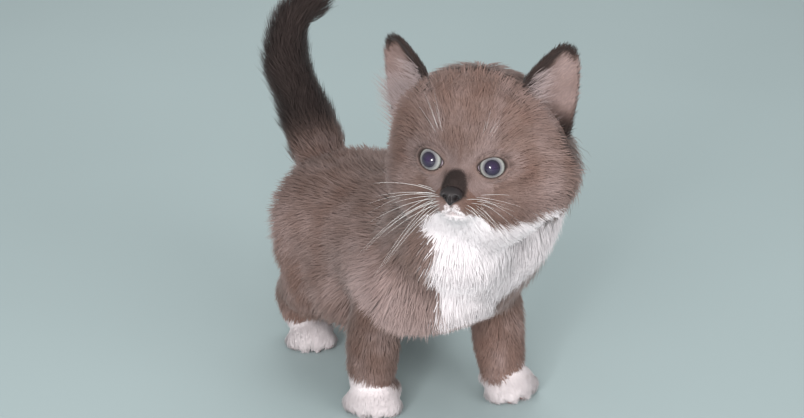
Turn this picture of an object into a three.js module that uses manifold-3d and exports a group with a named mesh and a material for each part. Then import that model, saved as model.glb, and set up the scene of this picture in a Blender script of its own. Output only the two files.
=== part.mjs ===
// A short-legged kitten with its tail up and its head turned to its right, as a still, life-size model.
// Millimetres, +Z up. The kitten faces -Y, its left side is +X, and its pads stand on the floor at z = 0.
import * as THREE from "three";
import { LoftGeometry } from "three/addons/geometries/LoftGeometry.js";
import { mergeVertices } from "three/addons/utils/BufferGeometryUtils.js";
import Module from "manifold-3d";

const wasm = await Module();
wasm.setup();

// Driving dimensions
const slit = 0.3; // gap between pieces that touch
const fine = 0.1; // smallest step kept in a surface
const backHeight = 103; // top of the coat over the loin
const bellyHeight = 31; // lowest coat of the belly above the floor
const bodyWidth = 80; // across the ribs, coat included
const hipWidth = 91; // across the haunches, coat included
const bodyLength = 161; // chest to rump, coat included
const headHeight = 142; // centre of the skull above the floor
const headTurn = -51; // degrees that the face turns to the kitten's right
const headLift = 13; // degrees that the face looks up
const skull = { side: 32, front: 24, back: 27, top: 35 }; // half sizes of the head under its long fur
const headFluff = 11.5; // depth of the long fur on the sides, top and back of the head
const eyeRadius = 8.6;
const eyeSpacing = 24; // between the centres of the eyeballs
const eyeTurn = 15; // degrees that each eye looks outwards
const earWidth = 30;
const earDepth = 9;
const earWall = 1.5;
const legWidth = 27; // through the fur of a foreleg
const pawWidth = 28;
const hindPawWidth = 26;
const tailLength = 92;
const tailWidth = { root: 40, base: 32, middle: 27, tip: 21 }; // coat included
const toesAcross = [-0.68, -0.25, 0.25, 0.68]; // middles of the toes, as shares of half a paw

// Depth from the tips of the coat down to the firm body under it
const coatDepth = { head: 6, torso: 7, neck: 8.5, tail: 5, leg: 3 };

const vec = (x, y, z) => new THREE.Vector3(x, y, z);
const lerp = THREE.MathUtils.lerp;
const rad = THREE.MathUtils.degToRad;
const upward = vec(0, 0, 1);
const forward = vec(0, -1, 0);

// Colours of the real coat, skin and eyes
const paint = (color, roughness) => new THREE.MeshStandardMaterial({ color, roughness, metalness: 0 });
const brownCoat = () => paint(0x8c7268, 0.95);
const darkCoat = () => paint(0x4a3b37, 0.95);
const whiteCoat = () => paint(0xe6dcda, 0.95);
const noseSkin = () => paint(0x2e2524, 0.45);
const eyeGlass = () => paint(0x93a39f, 0.08);

// A geometry as a solid, and a solid as a geometry
function solid(geometry) {
  const bare = new THREE.BufferGeometry().setAttribute("position", geometry.getAttribute("position"));
  const merged = mergeVertices(bare.setIndex(geometry.getIndex()), 1e-3);
  const triVerts = new Uint32Array(merged.index.array);
  const vertProperties = merged.attributes.position.array;
  const make = () => new wasm.Manifold(new wasm.Mesh({ numProp: 3, vertProperties, triVerts }));
  const made = make();
  if (made.volume() > 0) return made;
  for (let i = 0; i < triVerts.length; i += 3) {
    [triVerts[i], triVerts[i + 1]] = [triVerts[i + 1], triVerts[i]];
  }
  return make();
}

function geometryOf(body) {
  const mesh = body.getMesh();
  return new THREE.BufferGeometry()
    .setAttribute("position", new THREE.BufferAttribute(new Float32Array(mesh.vertProperties), 3))
    .setIndex(new THREE.BufferAttribute(new Uint32Array(mesh.triVerts), 1));
}

const joined = (pieces) => wasm.Manifold.union(pieces);
const smallestRing = 0.03; // share of its full size to which a form narrows at its closed ends
const largest = (body) => body.decompose().reduce((a, b) => (b.volume() > a.volume() ? b : a));
const capped = { capStart: true, capEnd: true };

// A ball with its poles up and down, scaled and placed
function ball(centre, half, around, rings) {
  const sphere = new THREE.SphereGeometry(1, around, rings).rotateX(Math.PI / 2);
  return solid(sphere.scale(...half).translate(...centre.toArray()));
}

// A long rounded form along a curve. sizeAt(t) gives its half sizes {side, top, under}. Its ends are domes.
// Below 1, boxy makes the section fuller towards its corners.
function limb({ points, sizeAt, steps, sides, topward, startDome = 0.1, endDome = 0.1, boxy = 1 }) {
  const curve = new THREE.CatmullRomCurve3(points, false, "centripetal");
  const dome = (t, length) => (t >= length ? 1 : Math.sqrt(Math.max(0, 1 - (1 - t / length) ** 2)));
  const frameAt = (t) => {
    const along = curve.getTangentAt(t);
    const side = along.clone().cross(topward).normalize();
    return { along, side, top: side.clone().cross(along).normalize() };
  };
  const at = (t, angle) => {
    const { side, top } = frameAt(t);
    const size = sizeAt(t);
    const round = Math.max(smallestRing, dome(t, startDome) * dome(1 - t, endDome));
    const half = Math.sin(angle) > 0 ? size.top : size.under;
    const full = (share) => Math.sign(share) * Math.abs(share) ** boxy;
    return curve
      .getPointAt(t)
      .addScaledVector(side, full(Math.cos(angle)) * size.side * round)
      .addScaledVector(top, full(Math.sin(angle)) * half * round);
  };
  const normalAt = (t, angle) => {
    const step = 0.02;
    const low = at(Math.max(0, t - step), angle);
    const high = at(Math.min(1, t + step), angle);
    const round = at(t, angle + step).sub(at(t, angle - step));
    return round.cross(high.sub(low)).normalize();
  };
  const build = () => {
    const rings = [];
    for (let i = 0; i <= steps; i++) {
      const t = 0.5 - 0.5 * Math.cos((Math.PI * i) / steps);
      rings.push(Array.from({ length: sides }, (_, j) => at(t, (-2 * Math.PI * j) / sides)));
    }
    return solid(new LoftGeometry(rings, capped));
  };
  return { at, normalAt, build, frameAt };
}

// Sizes between named stations [t, side, top, under], less the depth of the coat
function between(stations, coat) {
  const last = stations.length - 1;
  return (t) => {
    const i = Math.min(last - 1, stations.findLastIndex((s) => s[0] <= t));
    const [from, to] = [stations[i], stations[i + 1]];
    const share = THREE.MathUtils.smoothstep(t, from[0], to[0]);
    const size = (k) => lerp(from[k], to[k], share) - coat;
    return { side: size(1), top: size(2), under: size(3) };
  };
}

// Torso, from the front of the chest to the rump
const chestFront = -36;
const midHeight = (backHeight + bellyHeight) / 2;
const halfDepth = (backHeight - bellyHeight) / 2;
const chestRise = 9; // how far the middle of the chest stands above the middle of the loin
const shoulderRise = 3;
const rumpDrop = 2;
const torso = limb({
  points: [
    vec(0, chestFront + coatDepth.torso, midHeight + chestRise),
    vec(0, chestFront + 0.3 * bodyLength, midHeight + shoulderRise),
    vec(0, chestFront + 0.65 * bodyLength, midHeight),
    vec(0, chestFront + bodyLength - coatDepth.torso, midHeight - rumpDrop),
  ],
  sizeAt: between(
    [
      [0, 0.46 * bodyWidth, halfDepth - 5, halfDepth - 6],
      [0.17, bodyWidth / 2 + 6, halfDepth, halfDepth - 1],
      [0.5, bodyWidth / 2 - 1, halfDepth, halfDepth],
      [0.8, hipWidth / 2, halfDepth, halfDepth - 2],
      [1, 0.42 * hipWidth, halfDepth - 3, halfDepth - 5],
    ],
    coatDepth.torso,
  ),
  steps: 10,
  sides: 12,
  topward: upward,
  startDome: 0.2,
  endDome: 0.2,
  boxy: 0.85,
});

// Head frame: its own left, front and top directions
const headCentre = vec(-8, -34, headHeight);
const turned = rad(headTurn);
const lifted = rad(headLift);
const faceLevel = vec(Math.sin(turned), -Math.cos(turned), 0);
const headLeft = vec(Math.cos(turned), Math.sin(turned), 0);
const faceAhead = faceLevel.clone().multiplyScalar(Math.cos(lifted));
const headFront = faceAhead.addScaledVector(upward, Math.sin(lifted));
const headTop = upward.clone().multiplyScalar(Math.cos(lifted)).addScaledVector(faceLevel, -Math.sin(lifted));
const headWay = (l, f, t) =>
  vec(0, 0, 0).addScaledVector(headLeft, l).addScaledVector(headFront, f).addScaledVector(headTop, t);
const headPoint = (l, f, t) => headWay(l, f, t).add(headCentre);

// Swellings and hollows of the face: the way they face (left, front, top), their height and spread in degrees
const bothSides = (l, f, t, height, spread) =>
  [1, -1].map((side) => ({ way: [side * l, f, t], height, spread }));
const muzzle = { way: [0, 29, -15], height: 8.5, spread: 19 };
const bridge = { way: [0, 30, -8], height: 3.2, spread: 9 };
const forehead = { way: [0, 20, 16], height: 1.2, spread: 18 };
const chin = { way: [0, 25, -25], height: 3.2, spread: 10 };
const whiskerPads = bothSides(6.5, 28, -17, 2.4, 9);
const eyeSockets = bothSides(14, 24, 0, -2, 13);
const brows = bothSides(11, 22, 12, 1.2, 12);
const cheeks = bothSides(24, 10, -14, 3.5, 24);
const faceForms = [muzzle, bridge, forehead, chin, ...whiskerPads, ...eyeSockets, ...brows, ...cheeks];

const degreesApart = (l, f, t, [x, y, z]) =>
  THREE.MathUtils.radToDeg(Math.acos(Math.min(1, (l * x + f * y + t * z) / Math.hypot(x, y, z))));

// The face has short fur; it lengthens away from the bridge of the nose, less so under the jaw
const furGrows = { from: 38, to: 80 }; // degrees away from the nose
function headRadius(l, f, t, grow = 0) {
  const round = 1 / Math.hypot(l / skull.side, f / (f > 0 ? skull.front : skull.back), t / skull.top);
  const away = THREE.MathUtils.smoothstep(degreesApart(l, f, t, [0, 1, -0.1]), furGrows.from, furGrows.to);
  const underJaw = t < -0.5;
  const fluff = away * (headFluff - coatDepth.head) * (underJaw ? 0.5 : 1);
  return faceForms.reduce(
    (r, { way, height, spread }) => r + height * Math.exp(-((degreesApart(l, f, t, way) / spread) ** 2)),
    round + fluff + grow,
  );
}

// A point on the head in the way (l, f, t), raised or sunk by a height
function onHead(l, f, t, height = 0) {
  const size = Math.hypot(l, f, t);
  const r = (headRadius(l / size, f / size, t / size) + height) / size;
  return headPoint(l * r, f * r, t * r);
}

// The rings of this ball run round the nose, closer together towards it
function headCore(grow = 0) {
  const noseTilt = rad(-22);
  const crowding = 1.25;
  const sphere = new THREE.SphereGeometry(1, 28, 18);
  const position = sphere.attributes.position;
  for (let i = 0; i < position.count; i++) {
    const polar = Math.acos(THREE.MathUtils.clamp(position.getY(i), -1, 1));
    const away = Math.PI * (polar / Math.PI) ** crowding;
    const round = Math.atan2(position.getZ(i), position.getX(i));
    const f = Math.cos(away);
    const t = Math.sin(away) * Math.sin(round);
    const p = onHead(
      Math.sin(away) * Math.cos(round),
      f * Math.cos(noseTilt) - t * Math.sin(noseTilt),
      f * Math.sin(noseTilt) + t * Math.cos(noseTilt),
      grow,
    );
    position.setXYZ(i, p.x, p.y, p.z);
  }
  return solid(sphere);
}

// Thin rounded bead along a line on the head, for lids and for the line of the mouth
const bead = (points, half, steps, sides = 5) =>
  limb({
    points,
    sizeAt: () => ({ side: half, top: half, under: half }),
    steps,
    sides,
    topward: headFront,
  }).build();

// Eyes, set in the head and looking a little outwards
const eyeSides = { left: 1, right: -1 };
const eyeForward = 14; // from the middle of the skull to the middle of an eyeball
const eyeCentre = (side) => headPoint((side * eyeSpacing) / 2, eyeForward, 0);
const eyeBall = (side, grow = 0) => {
  const sphere = new THREE.SphereGeometry(eyeRadius + grow, 18, 10).rotateX(Math.PI / 2);
  return solid(sphere.translate(...eyeCentre(side).toArray()));
};

// Upper and lower lid: arcs that meet at the two corners, just above the eyeball
function lids(side) {
  const halfWide = 46; // degrees round the eyeball, as are the next two
  const halfHigh = { upper: 38, lower: 36 };
  const slant = 5;
  const thick = { upper: 1.25, lower: 1.05 };
  const clear = 0.5;
  const gaze = rad(eyeTurn) * side;
  const arc = (high) =>
    Array.from({ length: 7 }, (_, i) => {
      const share = -1 + i / 3;
      const across = rad(halfWide * share) + gaze;
      const rise = rad(high * Math.sqrt(1 - share * share) ** 0.85 + slant * share * side);
      const level = Math.cos(rise);
      const way = headWay(Math.sin(across) * level, Math.cos(across) * level, Math.sin(rise));
      return way.multiplyScalar(eyeRadius + clear).add(eyeCentre(side));
    });
  return [bead(arc(halfHigh.upper), thick.upper, 7), bead(arc(-halfHigh.lower), thick.lower, 7)];
}

// Line of the mouth: down from the nose, then out and a little up on each side
function mouthLine() {
  const half = 0.55;
  const split = [0, 29, -17.5];
  const parting = [0, 27.5, -19.5];
  const corner = (side) => [side * 10.5, 22.5, -18];
  const bend = (side) => [side * 4.5, 26.5, -21.5];
  const cut = (ways) => bead(ways.map((w) => onHead(...w)), half, 6);
  return [
    cut([split, parting, [0, 27, -20.5]]),
    ...[1, -1].map((side) => cut([parting, bend(side), corner(side)])),
  ];
}

// Bare tip of the nose, wide at the top and narrow at the lip, with its two nostrils
const nose = { half: 4.5, deep: 5, shoulder: 2.4, top: 4, foot: 4.2, footHalf: 1, sunk: 4.2 };
function noseTip(grow = 0) {
  const half = nose.half + grow;
  const shoulder = nose.shoulder + grow;
  const foot = -nose.foot - grow;
  const outline = new THREE.Shape();
  outline.moveTo(-half, shoulder);
  outline.quadraticCurveTo(0, nose.top + grow, half, shoulder);
  outline.quadraticCurveTo(half, -nose.footHalf, nose.footHalf, foot);
  outline.lineTo(-nose.footHalf, foot);
  outline.quadraticCurveTo(-half, -nose.footHalf, -half, shoulder);
  const wedge = new THREE.ExtrudeGeometry(outline, {
    depth: nose.deep + 2 * grow,
    steps: 1,
    curveSegments: 4,
    bevelThickness: 1.6,
    bevelSize: 1.2,
    bevelOffset: -1.2,
    bevelSegments: 2,
  });
  const tilt = new THREE.Matrix4().makeBasis(
    headLeft.clone().negate(),
    headWay(0, 0.26, 0.966),
    headWay(0, 0.966, -0.26),
  );
  const place = headPoint(0, 32, -12.5).toArray();
  return solid(wedge.translate(0, 0, -nose.sunk - grow).applyMatrix4(tilt).translate(...place));
}
const nostril = { across: 2.5, size: [1, 1, 0.8] };
const nostrils = () =>
  [1, -1].map((side) => ball(headPoint(side * nostril.across, 34.6, -13.6), nostril.size, 8, 6));

// An ear: a cup open to the front and outwards, thin at its rim, with a rounded tip
const earTips = { left: [36.5, -3, 50], right: [-43, -3, 46.5] };
const earBase = { across: 26, forward: 4, up: 13 };
const earCup = { forward: 4.5, reach: 0.97 }; // the hollow's move forward, and its share of the height
const earSides = 12;
function earForms(name) {
  const side = eyeSides[name];
  const base = headPoint(side * earBase.across, earBase.forward, earBase.up);
  const run = headPoint(...earTips[name]).sub(base);
  const rise = run.clone().normalize();
  const facing = headWay(side * 0.6, 0.78, 0.1);
  const open = facing.addScaledVector(rise, -facing.dot(rise)).normalize();
  const across = rise.clone().cross(open).normalize();
  const form = (wall, shift, reach) => {
    const rings = [0, 0.3, 0.55, 0.75, 0.9, 1].map((t) => {
      const half = (earWidth / 2) * Math.sqrt(1 - t ** 2.4) * (1 - 0.2 * t) + 0.9 - wall;
      const deep = earDepth * (1 - 0.72 * t) - 0.4 * wall;
      const centre = base.clone().addScaledVector(run, t * reach).addScaledVector(open, shift);
      return Array.from({ length: earSides }, (_, j) => {
        const angle = (-2 * Math.PI * j) / earSides;
        return centre
          .clone()
          .addScaledVector(across, Math.cos(angle) * Math.max(0.4, half))
          .addScaledVector(open, Math.sin(angle) * Math.max(0.4, deep));
      });
    });
    return solid(new LoftGeometry(rings, capped));
  };
  return {
    cup: form(0, 0, 1).subtract(form(earWall, earCup.forward, earCup.reach)),
    room: form(-2 * slit, 0, 1.02), // the cup with a slit left round it
  };
}
const ears = { left: earForms("left"), right: earForms("right") };

// Neck, from between the shoulders to the back of the skull
const neck = limb({
  points: [vec(2, 2, 78), vec(7, -12, 98), vec(8, -18, 116), vec(2, -26, 136)],
  sizeAt: between(
    [
      [0, 38, 32, 35],
      [0.5, 47, 35, 37],
      [1, 46, 31, 30],
    ],
    coatDepth.neck,
  ),
  steps: 6,
  sides: 12,
  topward: vec(0, 1, 0),
});

// Tail: up from the rump, leaning a little to the right, its tip hooking forward and left
const tailBase = vec(-3, 106, 84);
const tailDrawnAt = 92; // length of the tail that the next points give
const tailRun = [vec(0, 0, 0), vec(-4, 15, 26), vec(-9, 25, 54), vec(-5, 28, 74), vec(7, 26, 84)];
const tail = limb({
  points: tailRun.map((p) => p.multiplyScalar(tailLength / tailDrawnAt).add(tailBase)),
  sizeAt: between(
    [
      [0, tailWidth.root / 2],
      [0.18, tailWidth.base / 2],
      [0.5, tailWidth.middle / 2],
      [1, tailWidth.tip / 2],
    ].map(([t, half]) => [t, half, half, half]),
    coatDepth.tail,
  ),
  steps: 9,
  sides: 8,
  topward: vec(1, 0, 0),
});

// Legs: where each paw stands and which way its toes turn from straight ahead
const legs = {
  front_right: { hind: false, side: -1, paw: vec(-32.6, 11, 0), toes: -44 },
  front_left: { hind: false, side: 1, paw: vec(29.5, -11, 0), toes: -2 },
  hind_right: { hind: true, side: -1, paw: vec(-28, 84, 0), toes: -30 },
  hind_left: { hind: true, side: 1, paw: vec(27, 80, 0), toes: 14 },
};
const legEntries = Object.entries(legs);

function foreleg({ side, paw }) {
  const half = legWidth / 2;
  return limb({
    points: [
      vec(side * 26, 2, 72),
      vec(side * 31, lerp(6, paw.y, 0.4) + 3, 46),
      vec(paw.x, paw.y + 3, 15),
      vec(paw.x, paw.y, 7),
    ],
    sizeAt: between(
      [
        [0, half + 1, half + 4, half + 4],
        [0.45, half + 1, half + 3, half + 3],
        [1, half, half, half],
      ],
      coatDepth.leg,
    ),
    steps: 7,
    sides: 10,
    topward: forward,
  });
}

function hindleg({ side, paw }) {
  const half = legWidth / 2;
  return limb({
    points: [
      vec(side * 22, 90, 66),
      vec(side * 29, 76, 44),
      vec(lerp(side * 29, paw.x, 0.7), paw.y + 15, 25),
      vec(paw.x, paw.y + 3, 8),
    ],
    sizeAt: between(
      [
        [0, half + 6, half + 14, half + 14],
        [0.35, half + 3, half + 8, half + 8],
        [0.7, half - 0.5, half - 0.5, half - 0.5],
        [1, half - 1, half - 1, half - 1],
      ],
      coatDepth.leg,
    ),
    steps: 8,
    sides: 10,
    topward: forward,
  });
}

// A paw: a rounded back, four creased toes and flat pads, first laid out with its toes to +Y
function paw({ hind, paw: place, toes }) {
  const half = (hind ? hindPawWidth : pawWidth) / 2;
  const high = hind ? 8 : 9;
  const pieces = [ball(vec(0, 0.5, high), [half * 0.95, half * 1.08, high - 0.6], 10, 6)];
  for (const across of toesAcross) {
    const reach = half * (Math.abs(across) > 0.5 ? 0.38 : 0.62);
    pieces.push(ball(vec(half * across, reach, high * 0.54), [half * 0.36, half * 0.52, high * 0.68], 6, 5));
  }
  pieces.push(ball(vec(0, -half * 0.25, 1.6), [half * 0.46, half * 0.4, 2.4], 6, 4));
  const placed = new THREE.Matrix4().makeRotationZ(Math.PI + rad(toes)).setPosition(place.x, place.y, 0);
  return joined(pieces).transform(placed.elements);
}

const limbOf = (leg) => (leg.hind ? hindleg(leg) : foreleg(leg));
const limbs = Object.fromEntries(legEntries.map(([name, leg]) => [name, limbOf(leg)]));

// Random numbers from 0 to 1 that come out the same each time
function seeded(seed) {
  let state = seed;
  return () => {
    state = (state * 48271) % 2147483647;
    return state / 2147483647;
  };
}

// A flat, tapered lock of fur. Its root is sunk in the body. It rises to the tips of the coat along its lie.
const lockSunk = 3;
const lockStations = [
  { s: 0, wide: 0.55, high: 1 },
  { s: 0.38, wide: 1, high: 1 },
  { s: 0.72, wide: 0.74, high: 0.7 },
  { s: 1, wide: 0.05, high: 0.15 },
];
function lock({ root, out, lie, length, width, rise, sway }) {
  const side = lie.clone().cross(out).normalize();
  const along = out.clone().cross(side).normalize();
  const thick = 1.6 + 0.1 * width;
  const rings = lockStations.map(({ s, wide, high }) => {
    const centre = root
      .clone()
      .addScaledVector(along, length * s)
      .addScaledVector(out, (rise + lockSunk) * (1 - (1 - s) ** 1.6) - lockSunk)
      .addScaledVector(side, sway * s * s);
    const across = side.clone().multiplyScalar((width / 2) * wide);
    const ridge = out.clone().multiplyScalar(thick * high);
    return [across, across.clone().negate(), ridge].map((p) => p.add(centre));
  });
  return solid(new LoftGeometry(rings, capped));
}

// Locks in staggered rows over a limb. lieAt({ out, along }) gives the way the fur lies where it faces out.
// Each lock draws five numbers for its size, and the fourth of them is spare.
function coatOver(form, rowsAndSizes) {
  const { rows, from, to, around, first = 0, last = 2 * Math.PI } = rowsAndSizes;
  const { lieAt, length, width, rise, seed } = rowsAndSizes;
  const random = seeded(seed);
  const vary = (size, share, drawn) => size * (1 + share * (2 * drawn - 1));
  const locks = [];
  for (let row = 0; row < rows; row++) {
    for (let i = 0; i < around; i++) {
      const t = lerp(from, to, (row + 0.5 * random()) / rows);
      const angle = lerp(first, last, (i + 0.5 * (row % 2) + 0.35 * random()) / around);
      const out = form.normalAt(t, angle);
      const [long, wide, high, , aside] = Array.from({ length: 5 }, random);
      locks.push(
        lock({
          root: form.at(t, angle),
          out,
          lie: lieAt({ out, along: form.frameAt(t).along }),
          length: vary(length, 0.2, long),
          width: vary(width, 0.15, wide),
          rise: vary(rise, 0.15, high),
          sway: (aside - 0.5) * 0.4 * width,
        }),
      );
    }
  }
  return locks;
}

// Locks on the sides, top and back of the head, in rings round the line through the nose
const headRings = [80, 112]; // degrees away from the nose
function headLocks() {
  const random = seeded(31);
  const around = 11;
  const locks = [];
  for (const [ring, away] of headRings.entries()) {
    for (let i = 0; i < around; i++) {
      const round = rad((360 / around) * (i + 0.5 * ring + 0.3 * random()));
      const polar = rad(away + 6 * random());
      const way = [Math.sin(polar) * Math.cos(round), Math.cos(polar), Math.sin(polar) * Math.sin(round)];
      if (way[2] < -0.6) continue;
      locks.push(
        lock({
          root: onHead(...way),
          out: headWay(...way).normalize(),
          lie: headWay(0.2 * Math.sign(way[0]), -1, -0.9),
          length: 22 + 4 * random(),
          width: 13 + 3 * random(),
          rise: coatDepth.head + random(),
          sway: 4 * (random() - 0.5),
        }),
      );
    }
  }
  return locks;
}

// The long coat: back and down over the body, down the chest and legs, and out along the tail
const backAndDown = ({ out }) => vec(0, 1, -0.3 - 0.6 * Math.abs(out.x) - Math.abs(out.y));
const downward = () => vec(0, 0.15, -1);
const tailward = ({ along }) => along.clone().addScaledVector(upward, 0.1);
function longCoat() {
  const locks = [
    ...coatOver(torso, {
      rows: 5,
      from: 0.2,
      to: 1,
      around: 6,
      first: rad(-60),
      last: rad(240),
      lieAt: backAndDown,
      length: 34,
      width: 27,
      rise: coatDepth.torso,
      seed: 11,
    }),
    ...coatOver(torso, {
      rows: 2,
      from: 0.04,
      to: 0.2,
      around: 7,
      first: rad(-70),
      last: rad(250),
      lieAt: downward,
      length: 27,
      width: 16,
      rise: coatDepth.torso,
      seed: 12,
    }),
    ...[rad(210), rad(300)].flatMap((first, i) =>
      coatOver(torso, {
        rows: 4,
        from: 0.34,
        to: 0.74,
        around: 1,
        first,
        last: first + rad(30),
        lieAt: downward,
        length: 29,
        width: 20,
        rise: 1,
        seed: 21 + i,
      }),
    ),
    ...coatOver(neck, {
      rows: 2,
      from: 0.35,
      to: 0.95,
      around: 9,
      lieAt: downward,
      length: 30,
      width: 19,
      rise: coatDepth.neck,
      seed: 13,
    }),
    ...coatOver(tail, {
      rows: 6,
      from: 0.06,
      to: 1,
      around: 3,
      lieAt: tailward,
      length: 23,
      width: 13,
      rise: coatDepth.tail + 1,
      seed: 14,
    }),
    ...headLocks(),
  ];
  for (const [i, [name, leg]] of legEntries.entries()) {
    locks.push(
      ...coatOver(limbs[name], {
        rows: 2,
        from: leg.hind ? 0.3 : 0.42,
        to: 0.76,
        around: 3,
        first: leg.side > 0 ? rad(80) : rad(-100),
        last: leg.side > 0 ? rad(280) : rad(100),
        lieAt: downward,
        length: 17,
        width: 13,
        rise: coatDepth.leg,
        seed: 15 + i,
      }),
    );
  }
  return joined(locks);
}

// The whole animal, with room for its ears, its eyes, its nose and the line of its mouth
function wholeBody() {
  const sides = Object.values(eyeSides);
  const fur = longCoat().subtract(joined(Object.values(ears).map((e) => e.room)));
  const flesh = [fur, torso.build(), neck.build(), headCore(), tail.build(), ...sides.flatMap(lids)];
  for (const [name, leg] of legEntries) flesh.push(limbs[name].build(), paw(leg));
  const room = [...sides.map((side) => eyeBall(side, slit)), noseTip(slit), ...mouthLine()];
  return joined(flesh).subtract(joined(room)).trimByPlane([0, 0, 1], 0);
}

// A box that lies wholly beyond a plane through a point
function beyond(point, way, depth, width, grow) {
  const along = way.clone().normalize();
  const level = Math.abs(along.y) > 0.9 ? vec(1, 0, 0) : vec(0, 1, 0);
  const across = along.clone().cross(level).normalize();
  const turn = new THREE.Matrix4().makeBasis(across, along, across.clone().cross(along));
  const box = new THREE.BoxGeometry(width + 2 * grow, depth + 2 * grow, width + 2 * grow);
  const centre = point.clone().addScaledVector(along, depth / 2);
  return solid(box.applyMatrix4(turn).translate(...centre.toArray()));
}

// Where the body is parted into its nodes, each taken in turn from what is left
const ankleHeight = { front: 17, hind: 15 };
const cuts = [
  ...legEntries.map(([name, leg]) => ({
    name: `paw_${name}`,
    paint: whiteCoat,
    at: vec(leg.paw.x, leg.paw.y, leg.hind ? ankleHeight.hind : ankleHeight.front),
    way: vec(0, 0, -1),
    depth: 30,
    width: 44,
  })),
  ...legEntries.map(([name, leg]) => ({
    name: `leg_${name}`,
    paint: brownCoat,
    at: leg.hind ? vec(leg.side * 24, 84, 47) : vec(leg.side * 22, leg.paw.y * 0.6, 46),
    way: vec(leg.side * 0.62, 0, -0.78),
    depth: 60,
    width: 66,
  })),
  { name: "tail_tip", paint: darkCoat, at: vec(-12, 130, 136), way: vec(0, 0.15, 1), depth: 70, width: 80 },
  {
    name: "tail_base",
    paint: darkCoat,
    at: vec(-5, 112, 95),
    way: vec(-0.12, 0.45, 0.88),
    depth: 80,
    width: 90,
  },
  {
    name: "head",
    paint: brownCoat,
    at: headCentre.clone().add(vec(4, 10, -22)),
    way: vec(-0.15, -0.42, 0.9),
    depth: 110,
    width: 160,
  },
  { name: "neck", paint: brownCoat, at: vec(0, -10, 96), way: vec(0, -0.55, 0.83), depth: 60, width: 120 },
  {
    name: "chest",
    paint: whiteCoat,
    at: vec(0, -17, 70),
    way: vec(-0.12, -0.97, 0.2),
    depth: 50,
    width: 100,
  },
];

const kitten = new THREE.Group();
function show(name, body, material) {
  const kept = largest(solid(geometryOf(largest(body).simplify(fine))));
  const mesh = new THREE.Mesh(geometryOf(kept), material);
  mesh.name = name;
  kitten.add(mesh);
}

let rest = wholeBody();
for (const { name, paint: coat, at, way, depth, width } of cuts) {
  show(name, rest.intersect(beyond(at, way, depth, width, -slit / 2)), coat());
  rest = rest.subtract(beyond(at, way, depth, width, slit / 2));
}
show("torso", rest, brownCoat());
for (const [name, side] of Object.entries(eyeSides)) {
  show(`ear_${name}`, ears[name].cup.subtract(headCore(slit)), darkCoat());
  show(`eye_${name}`, eyeBall(side), eyeGlass());
}
show("nose", noseTip().subtract(joined(nostrils())), noseSkin());

// The origin lies on the floor, under the middle of the whole
const extent = new THREE.Box3().setFromObject(kitten);
const middle = extent.getCenter(vec(0, 0, 0));
kitten.position.set(-middle.x, -middle.y, 0);

export default kitten;
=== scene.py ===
# A short-legged, long-coated kitten as a still, life-size model: skin, eyes, nose, whiskers and coat.
import math

import bpy
import numpy as np
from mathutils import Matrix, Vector
from mathutils.kdtree import KDTree


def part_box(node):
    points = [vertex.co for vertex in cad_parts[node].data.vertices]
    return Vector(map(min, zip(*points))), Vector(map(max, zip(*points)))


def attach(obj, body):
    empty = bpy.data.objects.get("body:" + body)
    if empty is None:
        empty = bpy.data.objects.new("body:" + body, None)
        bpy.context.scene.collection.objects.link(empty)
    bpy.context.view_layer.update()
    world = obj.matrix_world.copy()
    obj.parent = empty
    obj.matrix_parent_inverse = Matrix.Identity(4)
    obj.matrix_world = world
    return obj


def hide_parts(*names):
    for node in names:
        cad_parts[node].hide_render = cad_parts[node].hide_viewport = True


bl_info = {
    "name": "Munchkin kitten",
    "version": (1, 0, 0),
    "blender": (4, 5, 0),
    "location": "View3D > Sidebar > Kitten",
    "description": "Builds the skin, eyes, nose, whiskers and long coat of a standing kitten",
    "category": "Add Mesh",
}

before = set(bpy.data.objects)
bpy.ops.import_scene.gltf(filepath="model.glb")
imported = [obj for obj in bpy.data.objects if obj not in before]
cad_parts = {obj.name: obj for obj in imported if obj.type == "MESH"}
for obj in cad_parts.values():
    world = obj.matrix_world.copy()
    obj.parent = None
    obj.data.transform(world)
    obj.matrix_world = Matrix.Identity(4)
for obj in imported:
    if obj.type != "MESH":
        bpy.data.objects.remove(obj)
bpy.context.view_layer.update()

# Forms are laid out in millimetres from the floor between the forepaws: the kitten faces -Y, its left is +X
MM = 0.001
UP = np.array([0.0, 0.0, 1.0])
HEAD_PLACE = np.array([-8.0, -34.0, 142.0])
HEAD_LIFT = math.radians(13)
SKULL = {"side": 32.0, "front": 24.0, "back": 27.0, "top": 35.0}
FLUFF_UNDER_COAT = 5.5
EYE_RADIUS = 8.6
EYE_DEPTH = 14.0
EYE_TURN = math.radians(15)
NOSE_WAY = (0.0, 0.93, -0.37)
EAR_WIDTH = 30.0
EAR_DEPTH = 9.0
EAR_TIPS = {1: (36.5, -3.0, 50.0), -1: (-43.0, -3.0, 46.5)}
EAR_BASE = (26.0, 4.0, 13.0)
CHEST_FRONT = -36.0
BODY_LENGTH = 161.0
BODY_WIDTH = 80.0
HIP_WIDTH = 91.0
MID_HEIGHT = 67.0
HALF_DEPTH = 36.0
LEG_HALF = 13.5
TAIL_BASE = np.array([-3.0, 106.0, 84.0])

# From the tips of the coat down to the skin
COAT_DEPTH = {"head": 0.9, "torso": 7.8, "neck": 9.3, "tail": 6.0, "leg": 3.8, "paw": 1.3, "ear": 1.3}

# Where each paw stands, and how far its toes turn from straight ahead
LEGS = {
    "front_right": {"hind": False, "side": -1, "paw": (-32.6, 11.0), "toes": -44},
    "front_left": {"hind": False, "side": 1, "paw": (29.5, -11.0), "toes": -2},
    "hind_right": {"hind": True, "side": -1, "paw": (-28.0, 84.0), "toes": -30},
    "hind_left": {"hind": True, "side": 1, "paw": (27.0, 80.0), "toes": 14},
}
FLESH = [
    "head", "neck", "chest", "torso", "tail_base", "tail_tip", "ear_left", "ear_right",
    *(f"leg_{name}" for name in LEGS),
    *(f"paw_{name}" for name in LEGS),
]


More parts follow.
